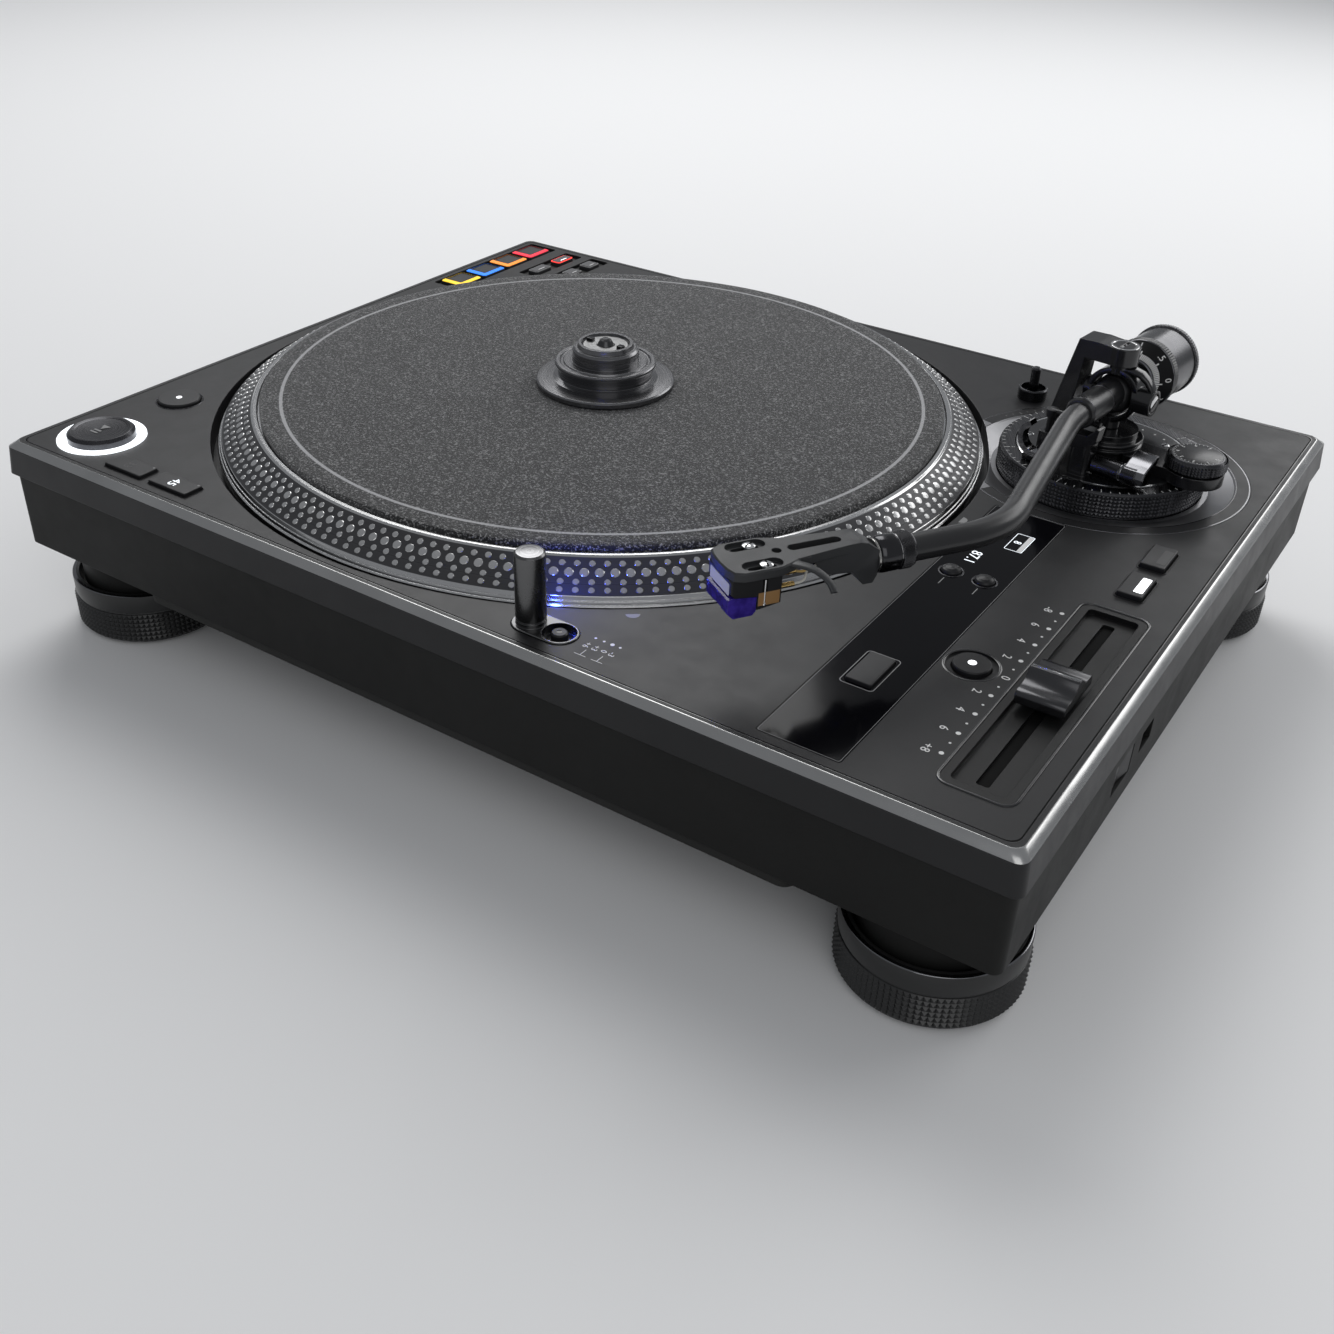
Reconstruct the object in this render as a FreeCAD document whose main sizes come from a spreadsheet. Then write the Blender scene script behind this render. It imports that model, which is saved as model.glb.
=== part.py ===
import FreeCAD, Part
import math
import os

import Sketcher
from FreeCAD import Placement, Rotation, Vector

# A direct drive deck for records, in millimetres. Up is +Z, the front is -Y and the origin
# lies on the table under the middle of the case. Heights of the pieces are counted from the
# top plate, whose height over the table is deck_top.

DOC = FreeCAD.newDocument("deck")
SHEET = DOC.addObject("Spreadsheet::Sheet", "Sizes")

# Driving dimensions

DIMENSIONS = [
    ("deck_top", 85.0, "height of the top plate over the table"),
    ("case_width", 453.0, "top case, widest at its lower edge"),
    ("case_depth", 353.0, "top case, widest at its lower edge"),
    ("band_height", 14.0, "side band of the top case"),
    ("band_draft", 1.0, "how far the band leans in on its way up"),
    ("bevel_run", 3.0, "bevel round the top plate, sideways"),
    ("bevel_drop", 2.4, "bevel round the top plate, down"),
    ("case_corner", 4.0, "corner radius of the case"),
    ("case_wall", 3.5, "wall of the top case"),
    ("plate_thick", 4.0, "top plate"),
    ("shadow_gap", 1.2, "slit between the top and lower case"),
    ("lower_inset", 2.0, "lower case inside the band's edge"),
    ("tongue_inset", 4.0, "rim of the lower case inside the band's edge"),
    ("tongue_rise", 3.0, "rim that reaches up into the top case"),
    ("lower_height", 31.6, "lower case"),
    ("lower_wall", 3.0, "lower case and its floor"),
    ("pan_half_width", 153.0, "pan under the lower case"),
    ("pan_front", 2.0, "pan behind the lower case's front and rear"),
    ("pan_drop", 6.2, "pan under the lower case"),
    ("pan_wall", 2.5, "pan wall"),
    ("foot_across", 383.0, "feet, left to right"),
    ("foot_along", 283.6, "feet, front to rear"),
    ("boss_radius", 27.0, "boss that enters a foot"),
    ("boss_drop", 17.2, "boss under the lower case"),
    ("foot_rim_drop", 60.7, "foot's upper rim under the top plate"),
    ("foot_radius", 31.8, "foot's smooth rim"),
    ("foot_grip_radius", 32.5, "foot's knurled band"),
    ("foot_pad", 1.4, "rubber sole"),
    ("stem_radius", 4.0, "foot's screw"),
    ("spindle_x", -45.5, "record spindle"),
    ("spindle_y", 1.5, "record spindle"),
    ("spindle_radius", 3.6, "record spindle"),
    ("spindle_rise", 34.0, "spindle tip over the top plate"),
    ("platter_gap", 2.8, "gap round the platter in the recess of the top plate"),
    ("recess_depth", 9.0, "recess in the top plate"),
    ("recess_floor", 3.0, "floor of the recess"),
    ("platter_radius", 166.5, "platter flange"),
    ("flange_top", 0.7, "flange under the top plate"),
    ("flange_thick", 5.0, "flange"),
    ("flange_width", 2.1, "flange outside the sloped strobe band"),
    ("band_foot_rise", 2.0, "sloped strobe band, lower edge"),
    ("band_run", 12.9, "sloped strobe band, sideways"),
    ("band_head_rise", 10.8, "sloped strobe band, upper edge"),
    ("platter_face", 10.0, "face that carries the mat"),
    ("platter_web", 6.0, "platter web"),
    ("rim_width", 3.1, "upper edge of the band to the edge of the mat"),
    ("mat_thick", 2.8, "slip mat"),
    ("magnet_inner", 38.0, "rotor magnet"),
    ("magnet_outer", 50.0, "rotor magnet"),
    ("puck_radius", 30.3, "record weight, base"),
    ("puck_flange", 22.1, "record weight, flange"),
    ("puck_neck", 14.5, "record weight, upper cylinder"),
    ("puck_height", 19.0, "record weight"),
    ("arm_length", 215.0, "spindle to arm pivot"),
    ("pivot_angle", 22.47, "direction from spindle to arm pivot"),
    ("arm_angle", -96.34, "direction of the resting arm's sleeve"),
    ("arm_height", 34.0, "arm axis over the top plate"),
    ("tilt_drop", 1.0, "tilt axis under the arm axis"),
    ("panel_radius", 61.0, "arm base panel"),
    ("panel_lip", 55.2, "inner edge of the panel's flat rim"),
    ("panel_dish", 3.6, "depth of the panel's dish"),
    ("ring_radius", 42.5, "height ring"),
    ("ring_gap", 0.4, "gap round the height ring"),
    ("ring_rise", 7.5, "height ring over the top plate"),
    ("platform_radius", 36.2, "arm platform"),
    ("platform_rise", 7.8, "arm platform over the top plate"),
    ("neck_radius", 15.0, "flange under the yoke"),
    ("neck_rise", 15.6, "flange under the yoke"),
    ("hub_radius", 20.0, "guide under the arm platform"),
    ("yoke_depth", 12.0, "yoke along the arm"),
    ("yoke_boss_radius", 6.5, "yoke boss round the upper pivot"),
    ("yoke_boss_rise", 53.4, "top of the yoke boss"),
    ("gimbal_outer", 11.5, "gimbal ring"),
    ("gimbal_inner", 9.0, "gimbal ring"),
    ("gimbal_gap", 3.0, "gap between the gimbal ring and the yoke's floor"),
    ("gimbal_width", 7.6, "gimbal ring along the arm"),
    ("gimbal_boss", 17.0, "reach of the gimbal's outer screw"),
    ("pivot_radius", 2.5, "yaw pivots"),
    ("trunnion_radius", 2.0, "tilt pivots"),
    ("sleeve_radius", 6.25, "sleeve round the tube at the pivot"),
    ("sleeve_front", 32.0, "front end of the sleeve"),
    ("sleeve_back", 9.0, "rear end of the sleeve"),
    ("tube_radius", 4.75, "arm tube"),
    ("tube_wall", 0.8, "arm tube"),
    ("bend_one", 39.5, "pivot to the first bend"),
    ("bend_two", 103.6, "first bend to the second"),
    ("bend_one_angle", 14.9, "turn of the first bend"),
    ("bend_two_angle", 41.4, "turn of the second bend"),
    ("bend_one_radius", 80.0, "first bend"),
    ("bend_two_radius", 45.0, "second bend"),
    ("tube_end", 51.7, "second bend to the tube's end"),
    ("shaft_radius", 5.0, "rear shaft"),
    ("shaft_end", 52.0, "pivot to the end of the rear shaft"),
    ("bush_radius", 6.6, "bush in the counterweight"),
    ("weight_radius", 14.4, "counterweight, smooth barrel"),
    ("weight_grip_radius", 15.0, "counterweight, knurled rear grip"),
    ("weight_grip", 3.2, "counterweight, knurled rear grip"),
    ("weight_front", 27.3, "pivot to the front of the counterweight"),
    ("weight_length", 21.2, "counterweight"),
    ("weight_sleeve", 4.6, "sleeve in front of the counterweight, under the dial"),
    ("sleeve_wall", 1.6, "sleeve in front of the counterweight"),
    ("dial_radius", 14.8, "force dial"),
    ("dial_length", 11.3, "force dial"),
    ("dial_grip", 3.5, "knurled band of the force dial"),
    ("dial_nose", 8.0, "front edge of the dial face"),
    ("collar_radius", 6.5, "locking collar of the headshell"),
    ("collar_length", 13.0, "locking collar of the headshell"),
    ("shell_length", 56.4, "headshell in front of its washer"),
    ("shell_width", 20.8, "headshell"),
    ("shell_tail", 10.0, "width of the headshell's tail"),
    ("shell_rise", 8.7, "top of the headshell over the arm axis"),
    ("shell_thick", 3.1, "headshell plate"),
    ("slot_pitch", 12.7, "between the cartridge screws"),
    ("slot_back", 40.1, "washer to the middle of the rear end of the screw slots"),
    ("slot_front", 48.4, "washer to the middle of the front end of the screw slots"),
    ("slot_recess", 2.75, "recess round each screw slot, half its width"),
    ("slot_half", 1.35, "screw slots, half their width"),
    ("stylus_reach", 52.0, "washer to stylus tip"),
    ("cartridge_width", 16.6, "cartridge"),
    ("cartridge_length", 17.6, "cartridge"),
    ("cartridge_front", 55.6, "washer to the front of the cartridge"),
    ("cartridge_step", 8.2, "cartridge behind the stylus"),
    ("cartridge_height", 12.0, "cartridge, rear"),
    ("stylus_drop", 10.6, "stylus tip under the arm axis"),
    ("clip_radius", 7.8, "arm rest clip, outer"),
    ("clip_thick", 2.2, "arm rest clip"),
    ("clip_width", 5.0, "arm rest clip along the arm"),
    ("rest_x", 32.6, "rear face of the clip in front of the pivot"),
    ("rest_thick", 5.8, "arm rest post along the arm"),
    ("clip_pin_y", -4.2, "pin of the clip beside the arm's sleeve line"),
    ("clip_pin_z", 24.2, "pin of the clip over the top plate"),
    ("clip_pin_radius", 1.4, "pin of the clip"),
    ("clip_y", -14.2, "middle of the open clip beside the arm's sleeve line"),
    ("clip_z", 20.1, "middle of the open clip over the top plate"),
    ("skate_x", 1.8, "anti-skate knob"),
    ("skate_y", 39.9, "anti-skate knob"),
    ("skate_radius", 12.0, "anti-skate knob"),
    ("skate_post", 3.0, "post that carries the anti-skate knob"),
    ("knob_arm_gap", 0.6, "gap between the height ring and the arm under the anti-skate knob"),
    ("knob_arm_thick", 4.8, "arm under the anti-skate knob"),
    ("lever_x", 25.4, "cue lever axis in front of the pivot"),
    ("lever_rise", 12.2, "cue lever axis over the top plate"),
    ("lever_radius", 3.9, "cue lever rod"),
    ("lever_pin", 1.6, "pin of the cue lever"),
    ("lifter_x", 18.0, "lift bar in front of the pivot"),
    ("lifter_y", -17.6, "stem of the lift bar beside the sleeve line"),
    ("lifter_pin", 1.6, "stem of the lift bar"),
    ("stand_x", 101.8, "stand for a spare headshell"),
    ("stand_y", 135.7, "stand for a spare headshell"),
    ("stand_radius", 6.7, "stand for a spare headshell"),
    ("stand_pin", 2.2, "pin of the stand"),
    ("start_x", -196.8, "start button"),
    ("start_y", -148.8, "start button"),
    ("start_radius", 13.8, "start button"),
    ("start_ring_width", 4.2, "lit ring round the start button"),
    ("off_x", -201.0, "motor button"),
    ("off_y", -104.0, "motor button"),
    ("off_radius", 9.2, "motor button"),
    ("speed_low_x", -163.4, "button for the low speed"),
    ("speed_high_x", -137.35, "button for the high speed"),
    ("speed_y", -161.1, "speed buttons"),
    ("speed_width", 21.2, "speed buttons"),
    ("speed_depth", 9.4, "speed buttons"),
    ("reset_x", 172.2, "pitch reset button"),
    ("reset_y", -92.2, "pitch reset button"),
    ("reset_radius", 6.6, "pitch reset button"),
    ("reset_margin", 2.5, "recess round the pitch reset button"),
    ("square_x", 200.2, "two buttons behind the pitch fader"),
    ("square_width", 9.4, "two buttons behind the pitch fader"),
    ("square_depth", 17.8, "two buttons behind the pitch fader"),
    ("range_y", -9.2, "pitch range button"),
    ("key_y", 16.5, "key lock button"),
    ("panel_x", 147.0, "control panel"),
    ("panel_y", -71.75, "control panel"),
    ("panel_width", 29.6, "control panel"),
    ("panel_depth", 188.5, "control panel"),
    ("panel_thick", 2.3, "control panel"),
    ("needle_x", 146.3, "button in the control panel"),
    ("needle_y", -115.5, "button in the control panel"),
    ("needle_width", 9.5, "button in the control panel"),
    ("needle_depth", 19.0, "button in the control panel"),
    ("round_left_x", 139.9, "left round button"),
    ("round_right_x", 153.2, "right round button"),
    ("round_y", -37.7, "round buttons"),
    ("round_radius", 3.8, "round buttons"),
    ("fader_x", 200.5, "pitch fader"),
    ("fader_y", -92.8, "pitch fader, middle"),
    ("fader_width", 24.1, "pitch fader tray"),
    ("fader_depth", 126.0, "pitch fader tray"),
    ("fader_travel", 100.8, "pitch fader"),
    ("fader_slot", 4.4, "slot in the tray"),
    ("fader_stem", 9.0, "stem of the knob along the slot"),
    ("knob_width", 17.0, "fader knob"),
    ("knob_depth", 25.0, "fader knob"),
    ("knob_rise", 8.7, "fader knob"),
    ("lamp_x", 50.3, "pop-up lamp"),
    ("pillar_x", 38.2, "strobe pillar"),
    ("strobe_y", -158.2, "strobe pillar and pop-up lamp"),
    ("insert_radius", 6.9, "strobe insert"),
    ("pillar_radius", 5.4, "strobe pillar"),
    ("pillar_rise", 28.0, "strobe pillar"),
    ("well_radius", 6.1, "well of the pop-up lamp"),
    ("lamp_radius", 3.0, "pop-up lamp"),
    ("lamp_length", 36.0, "pop-up lamp"),
    ("pad_x", -208.6, "row of pads"),
    ("pad_first_y", 95.6, "front pad"),
    ("pad_gap", 2.5, "between two pads"),
    ("pad_width", 14.0, "pads"),
    ("pad_depth", 17.5, "pads"),
    ("tray_left", 2.5, "plate under the pads, past their slots on the left"),
    ("tray_right", 2.0, "plate under the pads, past their slots on the right"),
    ("tray_front", 1.7, "plate under the pads, past their slots at the front"),
    ("tray_back", 2.1, "plate under the pads, past their slots at the back"),
    ("pad_side", 1.9, "frame beside the pads"),
    ("pad_end", 3.65, "frame before and behind the pads"),
    ("mode_x", -186.25, "slot beside the pads"),
    ("mode_y", 145.5, "slot beside the pads"),
    ("mode_side", 2.65, "frame beside the small buttons"),
    ("mode_end", 5.0, "frame before and behind the small buttons"),
    ("mode_button_width", 6.4, "buttons beside the pads"),
    ("mode_button_depth", 13.0, "buttons beside the pads"),
    ("mode_button_pitch", 20.0, "buttons beside the pads"),
    ("deck_x", -169.0, "second slot beside the pads"),
    ("deck_y", 149.6, "second slot beside the pads"),
    ("deck_side", 2.35, "frame beside the buttons of the second slot"),
    ("deck_end", 5.9, "frame before and behind the buttons of the second slot"),
    ("deck_button_width", 7.3, "buttons in the second slot"),
    ("deck_button_depth", 9.6, "buttons in the second slot"),
    ("deck_button_pitch", 16.0, "buttons in the second slot"),
    ("play", 0.3, "clearance round a moving button"),
    ("seat_play", 0.15, "clearance round a fixed insert"),
    ("bearing_play", 0.06, "clearance between a shaft and its bore"),
    ("switch_y", -75.3, "power switch"),
    ("switch_drop", 31.0, "power switch under the top plate"),
    ("switch_length", 16.8, "power switch"),
    ("switch_width", 11.2, "power switch"),
    ("port_y", -50.6, "data socket"),
    ("inlet_x", -150.0, "power inlet"),
    ("inlet_width", 30.0, "power inlet"),
    ("inlet_height", 22.0, "power inlet"),
    ("jack_x", 130.0, "sound sockets"),
    ("jack_pitch", 18.0, "sound sockets"),
    ("jack_block_width", 76.0, "block of sound sockets"),
    ("jack_block_height", 20.0, "block of sound sockets"),
    ("supply_x", 62.0, "transformer inside the case"),
    ("supply_y", 108.0, "transformer inside the case"),
]


class Size:
    """A number together with the sheet formula that gives it."""

    def __init__(self, value, text):
        self.value = value
        self.text = text

    def __add__(self, other):
        other = as_size(other)
        return Size(self.value + other.value, "(%s + %s)" % (self.text, other.text))

    def __sub__(self, other):
        other = as_size(other)
        return Size(self.value - other.value, "(%s - %s)" % (self.text, other.text))

    def __mul__(self, other):
        other = as_size(other)
        return Size(self.value * other.value, "(%s * %s)" % (self.text, other.text))

    def __truediv__(self, other):
        other = as_size(other)
        return Size(self.value / other.value, "(%s / %s)" % (self.text, other.text))

    def __neg__(self):
        return Size(-self.value, "(0 - %s)" % self.text)

    def __radd__(self, other):
        return as_size(other) + self

    def __rsub__(self, other):
        return as_size(other) - self

    def __rmul__(self, other):
        return as_size(other) * self


def as_size(number):
    if isinstance(number, Size):
        return number
    if number < 0:
        return Size(float(number), "(0 - %s)" % repr(float(-number)))
    return Size(float(number), repr(float(number)))


def cosine(angle):
    return Size(math.cos(math.radians(angle.value)), "cos(%s * 1 deg)" % angle.text)


def sine(angle):
    return Size(math.sin(math.radians(angle.value)), "sin(%s * 1 deg)" % angle.text)


def fill_sheet():
    """Write the driving dimensions and return each as a Size under its own name."""
    sizes = {}
    for row, (alias, value, note) in enumerate(DIMENSIONS, start=1):
        SHEET.set("A%d" % row, note)
        SHEET.set("B%d" % row, repr(value))
        SHEET.setAlias("B%d" % row, alias)
        sizes[alias] = Size(value, "Sizes.%s" % alias)
    DOC.recompute()
    return sizes


SIZES = fill_sheet()


def size(alias):
    return SIZES[alias]


# Helpers for bodies, sketches and features

def bind(thing, prop, length):
    thing.setExpression(prop, as_size(length).text)


def new_body(label, x=0, y=0, z=0, angle=0):
    """A body with its own frame. The angle turns it about the vertical."""
    body = DOC.addObject("PartDesign::Body", label)
    body.Label = label
    x, y, z, angle = as_size(x), as_size(y), as_size(z), as_size(angle)
    turn = Rotation(Vector(0, 0, 1), angle.value)
    body.Placement = Placement(Vector(x.value, y.value, z.value), turn)
    bind(body, "Placement.Base.x", x)
    bind(body, "Placement.Base.y", y)
    bind(body, "Placement.Base.z", z)
    if angle.value != 0:
        bind(body, "Placement.Rotation.Angle", angle)
    return body


def sketch_on(body, name, plane="XY_Plane", lift=0):
    """A sketch on one of the body's own planes, moved along that plane's normal."""
    sketch = body.newObject("Sketcher::SketchObject", "%s_%s" % (body.Label, name))
    base = [item for item in body.Origin.OriginFeatures if item.Role == plane][0]
    sketch.AttachmentSupport = [(base, "")]
    sketch.MapMode = "FlatFace"
    lift = as_size(lift)
    sketch.AttachmentOffset = Placement(Vector(0, 0, lift.value), Rotation())
    bind(sketch, "AttachmentOffset.Base.z", lift)
    return sketch


def add_rules(sketch, rules):
    """Add constraints given as (constraint, size or None) and bind the sized ones."""
    first = sketch.ConstraintCount
    sketch.addConstraint([rule for rule, _ in rules])
    for number, (_, length) in enumerate(rules):
        if length is not None:
            bind(sketch, "Constraints[%d]" % (first + number), length)


def point_rules(geometry, corner, x, y):
    """Place one point of a sketch from the origin."""
    rules = []
    for kind, length in (("DistanceX", as_size(x)), ("DistanceY", as_size(y))):
        rule = Sketcher.Constraint(kind, -1, 1, geometry, corner, length.value)
        rules.append((rule, length))
    return rules


def circle(sketch, radius, x=0, y=0):
    x, y, radius = as_size(x), as_size(y), as_size(radius)
    shape = Part.Circle(Vector(x.value, y.value, 0), Vector(0, 0, 1), radius.value)
    index = sketch.addGeometry(shape, False)
    rules = point_rules(index, 3, x, y)
    rules.append((Sketcher.Constraint("Radius", index, radius.value), radius))
    add_rules(sketch, rules)
    return index


def polygon(sketch, points):
    """A closed outline through points given as pairs of sizes."""
    points = [(as_size(x), as_size(y)) for x, y in points]
    first = sketch.GeometryCount
    lines = []
    for number, (x, y) in enumerate(points):
        following = points[(number + 1) % len(points)]
        start = Vector(x.value, y.value, 0)
        end = Vector(following[0].value, following[1].value, 0)
        lines.append(Part.LineSegment(start, end))
    sketch.addGeometry(lines, False)
    rules = []
    for number, (x, y) in enumerate(points):
        line = first + number
        nextline = first + (number + 1) % len(points)
        rules.append((Sketcher.Constraint("Coincident", line, 2, nextline, 1), None))
        rules.extend(point_rules(line, 1, x, y))
    add_rules(sketch, rules)


def rectangle(sketch, x, y, width, depth, corner):
    """A rectangle about (x, y) with rounded corners."""
    x, y = as_size(x), as_size(y)
    width, depth, corner = as_size(width), as_size(depth), as_size(corner)
    left, right = x - width / 2, x + width / 2
    front, back = y - depth / 2, y + depth / 2
    x0, x1, y0, y1 = left.value, right.value, front.value, back.value
    r = corner.value
    first = sketch.GeometryCount
    sides = [((x0 + r, y0), (x1 - r, y0)), ((x1, y0 + r), (x1, y1 - r)),
             ((x1 - r, y1), (x0 + r, y1)), ((x0, y1 - r), (x0, y0 + r))]
    lines = [Part.LineSegment(Vector(a[0], a[1], 0), Vector(b[0], b[1], 0)) for a, b in sides]
    centres = [(x1 - r, y0 + r), (x1 - r, y1 - r), (x0 + r, y1 - r), (x0 + r, y0 + r)]
    arcs = []
    for number, (cx, cy) in enumerate(centres):
        start = (number - 1) * math.pi / 2
        ring = Part.Circle(Vector(cx, cy, 0), Vector(0, 0, 1), r)
        arcs.append(Part.ArcOfCircle(ring, start, start + math.pi / 2))
    sketch.addGeometry(lines + arcs, False)
    rules = []
    for number in range(4):
        line, arc = first + number, first + 4 + number
        nextline = first + (number + 1) % 4
        rules.append((Sketcher.Constraint("Tangent", line, 2, arc, 1), None))
        rules.append((Sketcher.Constraint("Tangent", arc, 2, nextline, 1), None))
        kind = "Horizontal" if number % 2 == 0 else "Vertical"
        rules.append((Sketcher.Constraint(kind, line), None))
        if number:
            rules.append((Sketcher.Constraint("Equal", first + 4, arc), None))
    rules.append((Sketcher.Constraint("Radius", first + 4, r), corner))
    for line, kind, length in ((0, "DistanceY", front), (1, "DistanceX", right),
                               (2, "DistanceY", back), (3, "DistanceX", left)):
        rule = Sketcher.Constraint(kind, -1, 1, first + line, 1, length.value)
        rules.append((rule, length))
    add_rules(sketch, rules)


def stadium(sketch, x0, x1, y, radius):
    """A slot outline whose round ends are centred on (x0, y) and (x1, y)."""
    x0, x1, y, radius = as_size(x0), as_size(x1), as_size(y), as_size(radius)
    first = sketch.GeometryCount
    low, high, r = y.value - radius.value, y.value + radius.value, radius.value
    left = Part.Circle(Vector(x0.value, y.value, 0), Vector(0, 0, 1), r)
    right = Part.Circle(Vector(x1.value, y.value, 0), Vector(0, 0, 1), r)
    shapes = [Part.LineSegment(Vector(x0.value, low, 0), Vector(x1.value, low, 0)),
              Part.ArcOfCircle(right, -math.pi / 2, math.pi / 2),
              Part.LineSegment(Vector(x1.value, high, 0), Vector(x0.value, high, 0)),
              Part.ArcOfCircle(left, math.pi / 2, math.pi * 3 / 2)]
    sketch.addGeometry(shapes, False)
    rules = []
    for number in range(4):
        here, there = first + number, first + (number + 1) % 4
        rules.append((Sketcher.Constraint("Tangent", here, 2, there, 1), None))
    rules.append((Sketcher.Constraint("Radius", first + 1, r), radius))
    rules.extend(point_rules(first + 1, 3, x1, y))
    rules.extend(point_rules(first + 3, 3, x0, y))
    add_rules(sketch, rules)


def pad(body, sketch, length, middle=False, back=False):
    feature = body.newObject("PartDesign::Pad", sketch.Label + "_pad")
    feature.Profile = sketch
    bind(feature, "Length", length)
    if middle:
        feature.Midplane = True
    feature.Reversed = back
    sketch.Visibility = False
    return feature


def pocket(body, sketch, length=None, back=False):
    """Cut against the sketch's normal, or along it when back is set."""
    feature = body.newObject("PartDesign::Pocket", sketch.Label + "_cut")
    feature.Profile = sketch
    if length is None:
        feature.Type = "ThroughAll"
        feature.Midplane = True
    else:
        bind(feature, "Length", length)
        feature.Reversed = back
    sketch.Visibility = False
    return feature


def revolve(body, sketch, axis="V_Axis"):
    feature = body.newObject("PartDesign::Revolution", sketch.Label + "_turned")
    feature.Profile = sketch
    feature.ReferenceAxis = (sketch, [axis])
    feature.Angle = 360
    return feature


def round_pattern(body, features, sketch, count, axis="N_Axis"):
    pattern = body.newObject("PartDesign::PolarPattern", sketch.Label + "_pattern")
    pattern.Originals = features
    pattern.Axis = (sketch, [axis])
    pattern.Angle = 360
    pattern.Occurrences = count
    body.Tip = pattern
    return pattern


def turned(label, points, x=0, y=0, z=0, angle=0, axis="V_Axis"):
    """A turned piece: V_Axis stands it on end, H_Axis lays it along its own X."""
    body = new_body(label, x, y, z, angle)
    outline = sketch_on(body, "profile", "XZ_Plane")
    polygon(outline, points)
    revolve(body, outline, axis)
    return body


def edges_where(feature, test):
    """Names of the edges whose two ends and middle all pass a test."""
    DOC.recompute()
    names = []
    for number, edge in enumerate(feature.Shape.Edges, start=1):
        middle = edge.valueAt((edge.FirstParameter + edge.LastParameter) / 2)
        spots = [vertex.Point for vertex in edge.Vertexes] + [middle]
        if all(test(spot) for spot in spots):
            names.append("Edge%d" % number)
    return names


def soften(body, feature, radius, test, flat=False):
    """Round or chamfer the edges of a feature that pass a test."""
    kind = "PartDesign::Chamfer" if flat else "PartDesign::Fillet"
    names = edges_where(feature, test)
    result = body.newObject(kind, feature.Label + "_soft")
    result.Base = (feature, names)
    bind(result, "Size" if flat else "Radius", radius)
    return result


def at_height(height):
    height = as_size(height)
    return lambda spot: abs(spot.z - height.value) < 0.01


def knurl(body, radius, depth, low, length, count, plane="XY_Plane"):
    """Straight grooves round a piece, cut once and repeated about its axis."""
    radius, depth, low = as_size(radius), as_size(depth), as_size(low)
    groove = sketch_on(body, "groove", plane, low)
    half = radius * (math.pi / count * 0.62)
    outer = radius + 0.4
    polygon(groove, [(radius - depth, 0.0), (outer, half), (outer, -half)])
    cut = pocket(body, groove, length, back=True)
    return round_pattern(body, [cut], groove, count)


def arm_spot(x, y):
    """Table position of a point given in the resting arm's frame."""
    x, y = as_size(x), as_size(y)
    turn_x, turn_y = cosine(ARM_ANGLE), sine(ARM_ANGLE)
    return PIVOT_X + x * turn_x - y * turn_y, PIVOT_Y + x * turn_y + y * turn_x


DECK = size("deck_top")
SPINDLE_X, SPINDLE_Y = size("spindle_x"), size("spindle_y")
PIVOT_X = SPINDLE_X + size("arm_length") * cosine(size("pivot_angle"))
PIVOT_Y = SPINDLE_Y + size("arm_length") * sine(size("pivot_angle"))
ARM_ANGLE = size("arm_angle")
ARM_Z = DECK + size("arm_height")
PLAY = size("play")
SEAT = size("seat_play")
BEARING = size("bearing_play")
BAND = size("band_height")
PLATE = size("plate_thick")
RECESS = size("recess_depth")
CASE_HALF_WIDTH = size("case_width") / 2
CASE_HALF_DEPTH = size("case_depth") / 2
LOWER_TOP = BAND + size("shadow_gap")
LOWER_BOTTOM = LOWER_TOP + size("lower_height")
FLOOR_TOP = LOWER_BOTTOM - size("lower_wall")
PAN_BOTTOM = LOWER_BOTTOM + size("pan_drop")
RECESS_RADIUS = size("platter_radius") + size("platter_gap")
BAND_FOOT = size("platter_radius") - size("flange_width")
BAND_HEAD = BAND_FOOT - size("band_run")
MAT_RADIUS = BAND_HEAD - size("rim_width")
START_RING = size("start_radius") + size("start_ring_width")
KNOB_ARM_LOW = size("ring_rise") + size("knob_arm_gap")
PAD_PITCH = size("pad_depth") + size("pad_gap")
PAD_SLOT_Y = size("pad_first_y") + PAD_PITCH * 1.5
PAD_SLOT_WIDTH = size("pad_width") + size("pad_side") * 2
PAD_SLOT_DEPTH = PAD_PITCH * 3 + size("pad_depth") + size("pad_end") * 2
MODE_SLOT_WIDTH = size("mode_button_width") + size("mode_side") * 2
MODE_SLOT_DEPTH = size("mode_button_pitch") + size("mode_button_depth") + size("mode_end") * 2
DECK_SLOT_WIDTH = size("deck_button_width") + size("deck_side") * 2
DECK_SLOT_DEPTH = size("deck_button_pitch") + size("deck_button_depth") + size("deck_end") * 2
FEET = [("front_left", -1, -1), ("front_right", 1, -1), ("rear_left", -1, 1), ("rear_right", 1, 1)]


# Openings in the top plate, shared by the plate and by what sits in it

def button_openings(sketch, gap):
    """Outlines of the single buttons in the top plate, each grown by a gap."""
    circle(sketch, size("off_radius") + gap, size("off_x"), size("off_y"))
    circle(sketch, size("reset_radius") + gap, size("reset_x"), size("reset_y"))
    for x in (size("speed_low_x"), size("speed_high_x")):
        rectangle(sketch, x, size("speed_y"), size("speed_width") + gap * 2,
                  size("speed_depth") + gap * 2, 1.0)
    for y in (size("range_y"), size("key_y")):
        rectangle(sketch, size("square_x"), y, size("square_width") + gap * 2,
                  size("square_depth") + gap * 2, 1.0)


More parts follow.
